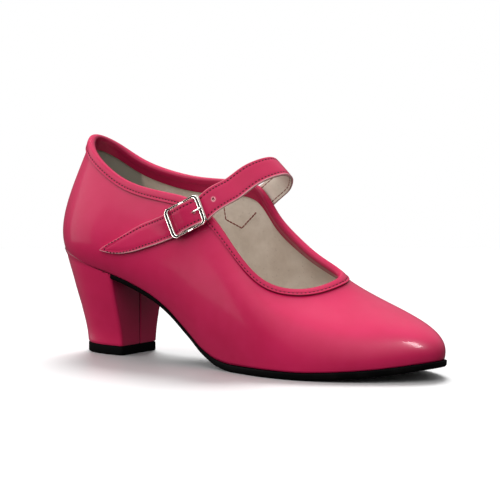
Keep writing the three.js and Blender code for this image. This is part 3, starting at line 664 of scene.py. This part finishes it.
# Outsole: a loop round each rung. Its ends follow the edge profile, set in by a small straight
# bevel at the top and by a power of the depth at the bottom
def makeOutsole():
    u = breast + (0.5 - breast) * (1 - np.cos(np.linspace(0, np.pi, 200))) / 2
    depth = np.array([0, 0.04, 0.12, 0.25, 0.4, 0.55, 0.7, 0.82, 0.92, 0.98, 1])
    roundFrom = 0.55
    topBevel = np.clip(0.12 - depth, 0, 1) * 4
    lowRound = (np.clip(depth - roundFrom, 0, 1) / (1 - roundFrom))**2.2
    setIn = bottom["bevel"] * (topBevel + lowRound)
    x = edgeX(u)
    shows = treadEdge(x / last["length"]) * bottom["edge"]
    thick = bottom["waist"] + (soleThickness - bottom["waist"]) * treadThickness(x / last["length"])

    def side(places):
        points = np.stack([bottomEdge(places, shows - inward) for inward in setIn], axis=1)
        points[..., 2] -= depth[None] * thick[:, None]
        return points
    lateral, medial = side(u), side(1 - u)
    share = np.linspace(0, 1, 24)[1:-1][None, :, None]
    tread = lateral[:, -1:] * (1 - share) + medial[:, -1:] * share
    tread[..., 2] = undersideAt(tread[..., 0]) - thick[:, None]
    top = medial[:, :1] * (1 - share) + lateral[:, :1] * share
    top[..., 2] = undersideAt(top[..., 0])
    loop = np.concatenate([lateral, tread, medial[:, ::-1], top], axis=1)
    loop[0, :, 0] = bottom["seatLength"] + gap
    addPiece("outsoleLeather", [(loop, False, True)], soleLeather, ["outsole"],
             sharpAngle=50)


seatPlaces = breast * (1 - np.linspace(0, 2, 121))
seatWidth = float(edgeY(np.array(-breast)) - edgeY(np.array(breast)))


# Plan of the heel from the lateral breast corner round the back to the medial one, and straight
# back over the breast. Both breast corners are rounded by a Bezier arc. The breast holds the
# cover's closing seam: a shallow step beside a groove
def heelRing(points, cornerRound, seam):
    body = points[2:-2]
    lateral, medial = points[0], points[-1]
    share = np.linspace(0, 1, 7)[:, None]

    def arc(start, corner, end):
        return start * (1 - share)**2 + 2 * corner * share * (1 - share) + end * share**2
    inward = unit(medial - lateral) * cornerRound
    start, end = medial - inward, lateral + inward
    breastLine = np.linspace(0, 1, bottom["breastPoints"])[:, None]
    face = start * (1 - breastLine) + end * breastLine
    if seam:
        step = smoothStep(face[:, 1], -0.3, 0.1) * bump(face[:, 1], 0, 6)
        groove = bump(face[:, 1], -0.35, 0.35)
        face[:, 0] += bottom["seamStep"] * step - bottom["seamDepth"] * groove
    return np.concatenate([arc(end, lateral, body[0])[1:], body[1:-1],
                           arc(body[-1], medial, start)[:-1], face])


# Plan moved out from its middle by a distance
def movedOut(ring, distance):
    ring = ring.copy()
    ring[:, :2] += unit(ring[:, :2] - ring.mean(0)[:2]) * distance
    return ring


def makeHeel():
    seat = bottomEdge(seatPlaces, np.zeros_like(seatPlaces))
    fromBreast = bottom["seatLength"] - seat[:, 0]
    lift = stacked(bottom["seatLength"] - fromBreast * bottom["liftLength"] / bottom["seatLength"],
                   seat[:, 1] * bottom["liftWidth"] / seatWidth,
                   np.full(len(seat), bottom["liftThickness"]))
    # The cover laps up over the seat as a cup: nothing at the breast, full height at the back
    cup = smoothStep(fromBreast, 6, 36)
    rib = ribAt(seatPlaces)
    cupTop = lastBelow(np.zeros_like(cup), np.full_like(cup, 0.5),
                       lambda v: alongRib(rib, v)[..., 2] - rib[0][:, 2] < cup * bottom["cupRise"])
    rings = [bottomEdge(seatPlaces, np.full_like(cup, out)) for out in (-0.35, 0.05)]
    for share, out in ((1, 0), (0.97, 0.5), (0.88, 0.85), (0.8, 1), (0.5, 1), (0.25, 1), (0, 1)):
        reach = cup * bottom["cupOut"] * out + (0.02 if out else 0.03)
        ring = skinPoint(seatPlaces, cupTop * share, reach)
        ring[:, 2] -= gap * (1 - cup)
        rings.append(ring)
    # Below it the seat's plan is drawn in towards the lift's, with a small round at the lift
    for down in np.concatenate([np.linspace(0.03, 0.97, 44), [0.988, 0.996, 1]]):
        drawn = heelDrawn(down)
        ring = seat * (1 - drawn) + lift * drawn
        ring[:, 2] = seat[:, 2] * (1 - down) + bottom["liftThickness"] * down
        swell = cup * bottom["cupOut"] * (1 - smoothStep(down, 0, 0.3)) - 0.35 * bump(down, 1, 0.008)
        rings.append(movedOut(ring, swell[:, None]))
    rings = np.array([heelRing(ring, bottom["cornerRound"], True) for ring in rings])
    onBreast = np.arange(rings.shape[1]) >= rings.shape[1] - bottom["breastPoints"]
    # painted shade in the breast seam's groove and as a dark line along the cup's edge
    shade = 0.8 * bump(rings[..., 1], -0.35, 0.45) * onBreast
    shade[:bottom["cupRings"]] = 0.9  # the dark line along the cup's edge
    addPiece("heelCover", [(rings, False, True)], heelCalf, ["heel"], dict(shade=shade), 60)

    height = bottom["liftThickness"] - gap
    sides = ((0, 0.5), (0.15, 0.2), (0.5, 0), (height - 0.4, 0), (height - 0.12, 0.12), (height, 0.35))
    liftRings = []
    for z, setIn in sides:
        ring = movedOut(lift, -setIn)
        ring[:, 2] = z
        liftRings.append(heelRing(ring, bottom["liftRound"], False))
    addPiece("heelLift", [(np.array(liftRings), False, True)], rubberLift, ["heel_lift"],
             sharpAngle=50)


makeInsole()
makeOutsole()
makeHeel()
print("bottom made")

# Buckle, in its own plane: along the strap, out from the foot and across the strap
buckle = dict(length=24.4, slope=25.5, endBar=2.8, rail=1.25, depth=1.4, corner=3.2, window=1.6,
              barRadius=0.7, lug=3.2, pivotGap=0.15, prongRadius=0.55, eye=0.65, tab=0.7,
              along=0.437, rise=1.05, tilt=63)
strap = dict(width=13, thickness=1.5, tail=40, tailFullness=0.85, anchorWidth=19, anchorPoint=4.6,
             anchorNeck=22, punchRadius=0.75, punchPitch=15.5, punchReach=(-1.2, 3.2), prongHole=0.95,
             prongShift=0.6, backPunch=0.5, lining=0.6, edgeRound=0.38, liningRound=0.15, groove=0.07,
             grooveWidth=0.3, pillow=0.10, stitchIn=1.6, tailStitchIn=4, backThread=(2.2, 0.6, 0.3))
slope = math.radians(buckle["slope"])
alongBuckle = np.array([math.cos(slope), 0, math.sin(slope)])
acrossBuckle = np.array([math.sin(slope), 0, -math.cos(slope)])
buckleX = buckle["along"] * last["length"]
buckleZ = float(undersideAt(np.array(buckleX))) + buckle["rise"] * last["counterHeight"]
buckleWidth = strap["width"] + 2 * gap + 2 * buckle["rail"]
corners = np.array([-0.5, 0, 0.5])
buckleBase = gap + sideBreadth(
    buckleX + corners * (alongBuckle[0] * buckle["length"] + acrossBuckle[0] * buckleWidth),
    buckleZ + corners * alongBuckle[2] * buckle["length"] + acrossBuckle[2] * buckleWidth / 2, -1).max()
barLevel = buckle["tab"] + buckle["pivotGap"] + buckle["barRadius"]
humpLevel = 2 * barLevel + gap
underBar = buckle["tab"] + gap
frameLevel = underBar + strap["thickness"] + gap
endBarPlace = (buckle["length"] - buckle["endBar"]) / 2


# Point in the buckle's plane: along, out and across
def inBuckle(along, out, across):
    along, out, across = np.broadcast_arrays(along, out, across)
    origin = np.array([buckleX, -buckleBase, buckleZ])
    return (origin + along[..., None] * alongBuckle + out[..., None] * np.array([0, -1, 0])
            + across[..., None] * acrossBuckle)


# Strap stations: along, rise, side, share that lies along the upper, lift from 0 on the upper to
# 1 over the binding, tilt
strapTail = [
    (0.18, 0.199, -0.4, 1, 0, 74), (0.224, 0.275, -0.4, 1, 0, 73),
    (0.262, 0.368, -0.4, 1, 0, 72), (0.305, 0.498, -0.4, 1, 0, 70),
    (0.35, 0.655, -0.4, 1, 0, 67),
]
strapInstep = [
    (0.507, 1.387, -0.217, 0, 1, 46), (0.528, 1.519, -0.053, 0, 1, 43),
    (0.542, 1.574, 0.132, 0, 1, 41), (0.536, 1.531, 0.263, 0, 1, 42),
    (0.513, 1.426, 0.34, 0, 1, 44), (0.486, 1.308, 0.346, 0.6, 1, 45),
    (0.463, 1.2, 0.348, 1, 1, 44), (0.437, 1.055, 0.348, 1, 0.91, 42),
    (0.413, 0.918, 0.348, 1, 0.27, 32), (0.397, 0.795, 0.348, 1, 0, 22),
    (0.392, 0.7, 0.348, 1, 0, 13),
]
buckleShares = np.array([-1.15, -0.85, -0.5, 0, 0.5, 0.85, 1.15])
nearHump = humpLevel * 0.78
buckleLevels = np.array([underBar, underBar, nearHump, humpLevel, nearHump, underBar, underBar])


# Station rows in millimetres: x, z, side, hug, lift, tilt
def stationRows(rows):
    rows = np.array(rows)
    x = rows[:, 0] * last["length"]
    z = undersideAt(x) + rows[:, 1] * last["counterHeight"]
    return np.stack([x, z, rows[:, 2] * last["ballWidth"], rows[:, 3], rows[:, 4], rows[:, 5]], 1)


overBuckle = buckleShares * endBarPlace
onBuckle = np.stack([
    buckleX + overBuckle * alongBuckle[0], buckleZ + overBuckle * alongBuckle[2],
    -buckleBase - buckleLevels, np.ones(7), np.zeros(7), np.full(7, buckle["tilt"]),
], 1)
stations = np.concatenate([stationRows(strapTail), onBuckle, stationRows(strapInstep)])
tailCount, runCount = len(strapTail), len(onBuckle)
strapX, strapZ, strapSide, strapHug, strapLift, strapTilt = (openCurve(values) for values in stations.T)
levelCurve = steadyCurve(np.arange(runCount), buckleBase + buckleLevels)


# Inner face of the strap: its middle line plus a distance across along the tilted width. Where it
# hugs, its side is the upper's breadth plus a lift, or what the buckle asks for if that is more
def strapPoint(place, across):
    tilt = np.radians(strapTilt(place))
    x = strapX(place) + np.cos(tilt) * across
    z = strapZ(place) - np.sin(tilt) * across
    lateral = place < tailCount + runCount
    local = place - tailCount
    level = np.where(local < 0, buckleBase + underBar * (1 + 2 * local), levelCurve(local))
    level = np.where(local > runCount - 1, buckleBase + buckleLevels[-1], level)
    rest = gap + strapLift(place) * (gap + binding["thickness"])
    lateralRest = sideBreadth(x, z, -1) + rest
    held = (lateralRest + level + np.hypot(lateralRest - level, 2 * gap)) / 2
    side = np.where(lateral, -held, sideBreadth(x, z, 1) + rest)
    hug = np.clip(strapHug(place), 0, 1)
    return stacked(x, strapSide(place) * (1 - hug) + side * hug, z)


fineness = 12  # places worked out between two stations
tablePlaces = np.arange((len(stations) - 1) * fineness + 1) / fineness
walkTable = walkAlong(stacked(strapX(tablePlaces), strapSide(tablePlaces), strapZ(tablePlaces)))
strapLength = walkTable[-1]
prongWalk = walkTable[(tailCount + 4) * fineness]
placeOf = steadyCurve(walkTable, tablePlaces)


# Half width at a walk: a pointed leaf over the tail, a parallel band, a smooth neck to the wider
# anchor and a straight point
def strapHalf(walk):
    half = strap["width"] / 2
    fromEnd = strapLength - walk
    tail = half * (1 - (1 - np.clip(walk / strap["tail"], 0, 1))**2)**strap["tailFullness"]
    wide = strap["anchorWidth"] / 2
    neck = smoothStep(fromEnd, strap["anchorNeck"] / 2, strap["anchorNeck"])
    head = np.where(fromEnd < strap["anchorPoint"], wide * fromEnd / strap["anchorPoint"],
                    wide + (half - wide) * neck)
    return np.where(walk < strap["tail"], tail, head)


# Strap surface at walks and distances across, with its outward normal
def strapSurface(walk, across):
    place = placeOf(walk)
    step = 0.05
    point = strapPoint(place, across)
    along = strapPoint(placeOf(walk + step), across) - strapPoint(placeOf(walk - step), across)
    over = strapPoint(place, across + step) - strapPoint(place, across - step)
    return point, unit(np.cross(over, along))


# One layer of the strap between two levels: rounded edges, the groove that the stitches pull in,
# and on the leather a pillowed middle, pale cut edges and a pale ring round the free hole
def strapLayer(name, low, high, material, replaces, lining):
    ends = 1 - np.cos(np.linspace(0, np.pi / 2, 60)[:-1])
    tail = 0.12 + ends * (strap["tail"] - 0.12)
    neckStart = strapLength - strap["anchorNeck"]
    head = np.concatenate([
        np.linspace(neckStart, strapLength - strap["anchorPoint"], 50)[:-1],
        strapLength - strap["anchorPoint"] * (1 - np.linspace(0, 0.985, 20)),
    ])
    walks = np.concatenate([tail, np.linspace(strap["tail"], neckStart, 250)[:-1], head])[:, None]
    half = strapHalf(walks)
    across = half * np.sin(np.linspace(-np.pi / 2, np.pi / 2, 41))
    point, normal = strapSurface(np.broadcast_to(walks, across.shape), across)
    fromEdge = np.minimum(half - np.abs(across), np.minimum(walks, strapLength - walks) * 1.2)
    rounding = strap["liningRound"] if lining else strap["edgeRound"]
    drop = rounding - np.sqrt(np.clip(rounding**2 - np.clip(rounding - fromEdge, 0, None)**2, 0, None))
    groove = bump(fromEdge, strap["stitchIn"], strap["grooveWidth"])
    if lining:
        outer = point + normal * (low + drop + 0.10 * groove)[..., None]
        inner = point + normal * high
        cut = bump(fromEdge, 0, 0.2)
    else:
        pillow = strap["pillow"] * smoothStep(fromEdge, strap["stitchIn"], strap["stitchIn"] + 2)
        outer = point + normal * (high - drop - strap["groove"] * groove + pillow)[..., None]
        inner = point + normal * low
        rim = point + normal * (high - rounding * 1.05)
        outer = np.concatenate([rim[:, :1], outer, rim[:, -1:]], axis=1)
        fromHole = np.hypot(walks - prongWalk - strap["punchPitch"], across)
        cut = np.where(across > 0, 1.0, 0.2) * bump(fromEdge, 0, 0.42)
        cut = np.maximum(cut, bump(fromHole, strap["punchRadius"], 0.45))
        cut = np.pad(cut, ((0, 0), (1, 1)), constant_values=1)
        groove = np.pad(groove, ((0, 0), (1, 1)))
    bare = np.ones(inner.shape[:2])
    marks = dict(cutEdge=np.concatenate([cut, bare], axis=1),
                 shade=np.concatenate([0.05 * groove, 0 * bare], axis=1))
    loop = np.concatenate([outer, inner[:, ::-1]], axis=1)
    return addPiece(name, [(loop, False, True)], material, replaces, marks, 55)


# Free hole, and a pitch before it the one that the prong fills, punched square through each piece
# at its own share of the radius
def punchHoles(pieces):
    turn = fullTurn(32)[:, None]
    rings = []
    for walk, radius in ((prongWalk + strap["punchPitch"], strap["punchRadius"]),
                         (prongWalk + strap["prongShift"], strap["prongHole"])):
        centre, normal = (one[0] for one in strapSurface(np.array([walk]), np.array([0.0])))
        side = unit(np.cross(normal, alongBuckle))
        ring = radius * (np.cos(turn) * side + np.sin(turn) * np.cross(side, normal))
        rings.append((centre, ring, normal))
    for piece, narrow in pieces:
        cutters = [(np.stack([centre + ring * narrow + normal * out for out in strap["punchReach"]]),
                    False, True) for centre, ring, normal in rings]
        cutter = makePiece("holePunch", cutters, dict(cutEdge=np.ones(4 * len(turn))))
        cut = piece.modifiers.new("punch", "BOOLEAN")
        cut.operation, cut.solver, cut.object = "DIFFERENCE", "EXACT", cutter
        bpy.context.view_layer.objects.active = piece
        with bpy.context.temp_override(object=piece, active_object=piece):
            bpy.ops.object.modifier_apply(modifier=cut.name)
        bpy.data.objects.remove(cutter)


# Stitch line at a constant distance inside the strap's edge: up the lateral side, round the
# anchor's point and back, closed round the tail
def strapStitchLine(level):
    inset = strap["stitchIn"]
    start, end = strap["tailStitchIn"], strapLength - inset * 1.7
    walks = np.concatenate([start + (strap["tail"] - start) * (1 - np.cos(np.linspace(0, np.pi / 2, 40))),
                            np.linspace(strap["tail"], end, 300)[1:]])
    inTail = np.clip((walks - start) / (strap["tail"] - start), 0, 1)
    tailHalf = (strap["width"] / 2 - inset) * np.sqrt(1 - (1 - inTail)**2)
    headHalf = np.minimum(strapHalf(walks) - inset,
                          (end - walks) * strap["anchorWidth"] / 2 / strap["anchorPoint"])
    half = np.where(walks < strap["tail"], tailHalf, headHalf)
    walk = np.concatenate([walks, walks[::-1][1:-1]])
    across = np.concatenate([half, -half[::-1][1:-1]])
    point, normal = strapSurface(walk, across)
    return point + normal * level, normal


def makeStrap():
    top = strapLayer("strapLeather", strap["lining"], strap["thickness"], strapCalf,
                     ["strap"], False)
    back = strapLayer("strapLining", 0.0, strap["lining"] - 0.04, liningNap,
                      [], True)
    punchHoles([(top, 1.0), (back, strap["backPunch"])])
    sewnRow("strapSewing", *strapStitchLine(strap["thickness"] - strap["groove"]))
    line, normal = strapStitchLine(0.06)
    grainPiece("strapBackThreads", line, -normal, threadBrown, strap["backThread"])


makeStrap()
print("strap made")


# Round-cornered oblong carried from the outside of the frame to its window. The profile rises
# over an outer ridge, dips into a channel and rises over an inner ridge
def makeBuckleFrame():
    profile = np.array([
        (0, 0), (0, 0.28), (0.015, 0.55), (0.05, 0.78), (0.1, 0.92), (0.17, 1), (0.24, 0.97),
        (0.31, 0.83), (0.37, 0.6), (0.43, 0.4), (0.5, 0.34), (0.57, 0.4), (0.63, 0.58),
        (0.69, 0.8), (0.76, 0.94), (0.83, 0.98), (0.9, 0.9), (0.95, 0.74), (0.985, 0.5), (1, 0.25),
        (1, 0),
    ])
    inward, up = profile[:, 0], profile[:, 1]
    perCorner = 13
    turn = np.linspace(0, np.pi / 2, perCorner) + np.arange(4)[:, None] * np.pi / 2
    signAlong = np.array([1, -1, -1, 1])[:, None, None]
    signAcross = np.array([1, 1, -1, -1])[:, None, None]
    radius = buckle["corner"] + (buckle["window"] - buckle["corner"]) * inward
    halfLength = buckle["length"] / 2 - buckle["endBar"] * inward
    halfWidth = buckleWidth / 2 - buckle["rail"] * inward
    along = signAlong * (halfLength - radius) + np.cos(turn)[..., None] * radius
    across = signAcross * (halfWidth - radius) + np.sin(turn)[..., None] * radius
    rings = inBuckle(along, frameLevel + buckle["depth"] * up, across).reshape(4 * perCorner, -1, 3)

    around = fullTurn(24)
    barEnds = np.array([-1, -1, 1, 1]) * (buckleWidth - buckle["rail"]) / 2
    barRadius = np.array([0.01, 1, 1, 0.01]) * buckle["barRadius"]
    bar = inBuckle(barRadius[:, None] * np.cos(around), barLevel + barRadius[:, None] * np.sin(around),
                   barEnds[:, None] + 0 * around)
    grids = [(rings, True, True), (bar, False, True)]
    # painted shade: the channel between the outer and inner ridges is darkened
    channelShade = 1 - smoothStep(np.abs(inward - 0.5), 0.15, 0.24)
    channelShade = np.broadcast_to(channelShade, rings.shape[:2]).ravel()
    lugLow = barLevel - buckle["barRadius"]
    lugHigh = frameLevel + buckle["depth"] / 2
    for side in (-1, 1):  # rounded lugs that drop from the rails to the centre bar
        lugAlong = np.sign(np.cos(around)) * np.abs(np.cos(around))**0.5 * buckle["lug"] / 2
        lugAcross = np.sign(np.sin(around)) * np.abs(np.sin(around))**0.5 * buckle["rail"] * 0.45
        levels = np.array([lugLow, lugLow, lugLow + 0.2, lugHigh, lugHigh])
        scale = np.array([0.01, 0.8, 1, 1, 0.01])
        lug = inBuckle(scale[:, None] * lugAlong, levels[:, None] + 0 * around,
                       side * (buckleWidth - buckle["rail"]) / 2 + scale[:, None] * lugAcross)
        grids.append((lug, False, True))
    bare = sum(grid.shape[0] * grid.shape[1] for grid, _, _ in grids) - channelShade.size
    marks = dict(shade=np.concatenate([channelShade, np.zeros(bare)]))
    addPiece("buckleFrame", grids, nickel, ["buckle_frame"], marks, 70)


# Prong: a tapering round rod along its path from the eye to a domed tip, and the eye as a flat
# ring round the centre bar
def makeProng():
    eyeRadius = buckle["barRadius"] + buckle["pivotGap"] + buckle["eye"]
    rest = frameLevel + buckle["depth"] + gap + buckle["prongRadius"]
    path = np.array([
        (eyeRadius * 0.67, barLevel + eyeRadius * 0.3), (eyeRadius * 2, barLevel + eyeRadius),
        (endBarPlace * 0.5, frameLevel + buckle["depth"]), (endBarPlace * 0.7, rest),
        (endBarPlace, rest + buckle["prongRadius"] / 5), (endBarPlace + buckle["endBar"] * 0.4, rest),
    ])
    alongAt, outAt = openCurve(path[:, 0]), openCurve(path[:, 1])
    rodSteps, domeSteps, lastStation = 60, 8, len(path) - 1
    place = np.append(np.linspace(0, lastStation, rodSteps), np.full(domeSteps, float(lastStation)))
    dome = np.append(np.zeros(rodSteps), np.sin(np.linspace(0.15, 1.5, domeSteps)))
    taper = (1 - 0.05 * place) * np.sqrt(np.clip(1 - dome**2, 1e-4, 1))
    ahead = unit(stacked(alongAt(place + nudge) - alongAt(place - nudge),
                         outAt(place + nudge) - outAt(place - nudge)))
    turn = fullTurn(20)
    radius = buckle["prongRadius"] * taper[:, None]
    reach = dome * buckle["prongRadius"] * 0.7
    along = (alongAt(place) + ahead[:, 0] * reach)[:, None] - ahead[:, 1:] * radius * np.cos(turn)
    out = (outAt(place) + ahead[:, 1] * reach)[:, None] + ahead[:, :1] * radius * np.cos(turn)
    rod = inBuckle(along, out, radius * np.sin(turn))

    bore = buckle["barRadius"] + buckle["pivotGap"]
    corner = np.array([(0, -1), (0, 1), (0.15, 1.15), (0.85, 1.15), (1, 1), (1, -1), (0.85, -1.15),
                       (0.15, -1.15)])
    ringTurn = fullTurn(48)[:, None]
    ringRadius = bore + corner[:, 0] * buckle["eye"]
    eye = inBuckle(ringRadius * np.cos(ringTurn), barLevel + ringRadius * np.sin(ringTurn),
                   corner[:, 1] * buckle["prongRadius"] * 0.87 + 0 * ringTurn)
    addPiece("buckleProng", [(rod, False, True), (eye, True, True)], nickel,
             ["buckle_prong"], sharpAngle=70)


makeBuckleFrame()
makeProng()
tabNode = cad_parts["buckle_tab"]
tabNode.data.materials.clear()
tabNode.data.materials.append(bindingCalf)
print("buckle made")

# Stitching of the strap's anchor as it shows on the medial lining: a house with its point down
anchorSeam = dict(corners=[(84.5, 86.0), (82.6, 77.5), (83.2, 71.4), (93.3, 67.3), (103.1, 76.2)],
                  standOff=0.03, thread=(2.3, 0.85, 0.4))


def makeAnchorSeam():
    corner = np.array(anchorSeam["corners"])
    walk = np.arange(len(corner))
    fine = np.linspace(0, len(corner) - 1, 160)
    x, z = np.interp(fine, walk, corner[:, 0]), np.interp(fine, walk, corner[:, 1])
    breadth = sideBreadth(x, z, 1) - shell["wall"] - anchorSeam["standOff"]
    normal = np.broadcast_to(np.array([0.0, -1.0, 0.0]), (len(fine), 3))
    grainPiece("anchorSeam", stacked(x, breadth, z), normal, threadBrown, anchorSeam["thread"],
               closed=False)


makeAnchorSeam()
print("seams made")

# Camera as it stood for the photograph, in the frame's own millimetres
shot = dict(azimuth=36.07, elevation=5.65, distance=1600, view=9.23, target=(82.3, 0, 50),
            right=4.83, up=8.58)
studio = dict(tableRadius=0.62, tableCentre=(0.09, 0, 0), tableWhite=0.9, horizon=0.11, ceiling=0.85,
              ceilingFrom=0.9)
# Lights by the direction that they shine from: a sun where it has an angle, else a soft box
lights = dict(
    overheadSun=dict(azimuth=216, elevation=50, power=3.6, angle=28),
    frontFill=dict(azimuth=0, elevation=45, power=2.5, angle=90),
    leftBox=dict(azimuth=-66, elevation=16, power=5, distance=1.5, size=(1.1, 1.4)),
    toeBox=dict(azimuth=75.8, elevation=54.5, power=0.85, distance=0.3, size=(0.065, 0.15),
                centre=(0.194, -0.0066, 0.018)),
    heelBox=dict(azimuth=-72, elevation=4, power=5.5, distance=1.5, size=(2.4, 1)),
    metalBox=dict(azimuth=-36, elevation=8, power=14, size=(0.7, 0.9)),
)


# Direction from the shoe, by an azimuth and an elevation in degrees
def directionOf(azimuth, elevation):
    a, e = math.radians(azimuth), math.radians(elevation)
    return Vector((math.sin(a) * math.cos(e), -math.cos(a) * math.cos(e), math.sin(e)))


# Object that stands in a direction from a place and looks back at it
def lookFrom(name, data, away, centre, distance):
    viewer = bpy.data.objects.new(name, data)
    bpy.context.scene.collection.objects.link(viewer)
    viewer.location = centre + away * distance
    viewer.rotation_euler = away.to_track_quat("Z", "Y").to_euler()
    return viewer


def makeCamera():
    right = directionOf(shot["azimuth"] + 90, 0)
    back = directionOf(shot["azimuth"], shot["elevation"])
    target = Vector(shot["target"]) + right * shot["right"] + back.cross(right) * shot["up"]
    data = bpy.data.cameras.new("photoCamera")
    data.angle = math.radians(shot["view"])
    data.clip_end = 100
    bpy.context.scene.camera = lookFrom("photoCamera", data, back, target * 0.001,
                                        shot["distance"] * 0.001)


def makeLight(name, azimuth, elevation, power, angle=None, distance=1.2, size=None,
              centre=(0.09, 0, 0.05)):
    data = bpy.data.lights.new(name, "SUN" if angle else "AREA")
    data.energy = power
    if angle:
        data.angle = math.radians(angle)
    else:
        data.shape, (data.size, data.size_y) = "RECTANGLE", size
    return lookFrom(name, data, directionOf(azimuth, elevation), Vector(centre), distance)


# Flag a light off some objects, or keep it to them
def flagLight(light, state, *names):
    group = bpy.data.collections.new(light.name + "Flag")
    for name in names:
        group.objects.link(bpy.data.objects[name])
    for entry in group.collection_objects:
        entry.light_linking.link_state = state
    light.light_linking.receiver_collection = group


# White table under the shoe. Past its rim the camera sees plain white, but surfaces see a dim
# room with a bright ceiling, so that upright leather isn't washed out
def makeStudio():
    turn = fullTurn(96)
    rim = studio["tableRadius"] * stacked(np.cos(turn), np.sin(turn), 0 * turn) + studio["tableCentre"]
    mesh = bpy.data.meshes.new("studioTable")
    mesh.from_pydata(rim.tolist(), [], [list(range(96))])
    table = bpy.data.objects.new("studioTable", mesh)
    bpy.context.scene.collection.objects.link(table)
    white = colour(*[studio["tableWhite"]] * 3)
    mesh.materials.append(Finish("studioPaper").surface(Base_Color=white, Roughness=0.35,
                                                        Specular_IOR_Level=0.1))
    table.visible_diffuse = table.visible_glossy = False

    room = Finish("studioRoom", bpy.data.worlds.new("studioRoom"), "Generated")
    height = room.node("ShaderNodeSeparateXYZ", None, {0: room.place}, "Z")
    grey = room.node("ShaderNodeMapRange", None, {0: height, 1: 0, 2: studio["ceilingFrom"],
                                                  3: studio["horizon"], 4: studio["ceiling"]})
    walls = room.node("ShaderNodeBackground", None, dict(Color=grey))
    backdrop = room.node("ShaderNodeBackground", None, dict(Color=colour(1, 1, 1)))
    seen = room.node("ShaderNodeLightPath", output="Is Camera Ray")
    either = room.node("ShaderNodeMixShader", None, {0: seen, 1: walls, 2: backdrop})
    room.node("ShaderNodeOutputWorld", None, dict(Surface=either))
    bpy.context.scene.world = room.owner

    made = {name: makeLight(name, **light) for name, light in lights.items()}
    made["overheadSun"].visible_glossy = made["frontFill"].visible_glossy = False
    made["toeBox"].visible_diffuse = False
    flagLight(made["frontFill"], "EXCLUDE", "studioTable")
    flagLight(made["toeBox"], "INCLUDE", "upperLeather")
    flagLight(made["heelBox"], "INCLUDE", "heelCover")
    flagLight(made["metalBox"], "INCLUDE", "buckleFrame", "buckleProng")
    bpy.context.scene.view_settings.view_transform = "Standard"


makeCamera()
makeStudio()
print("studio made")
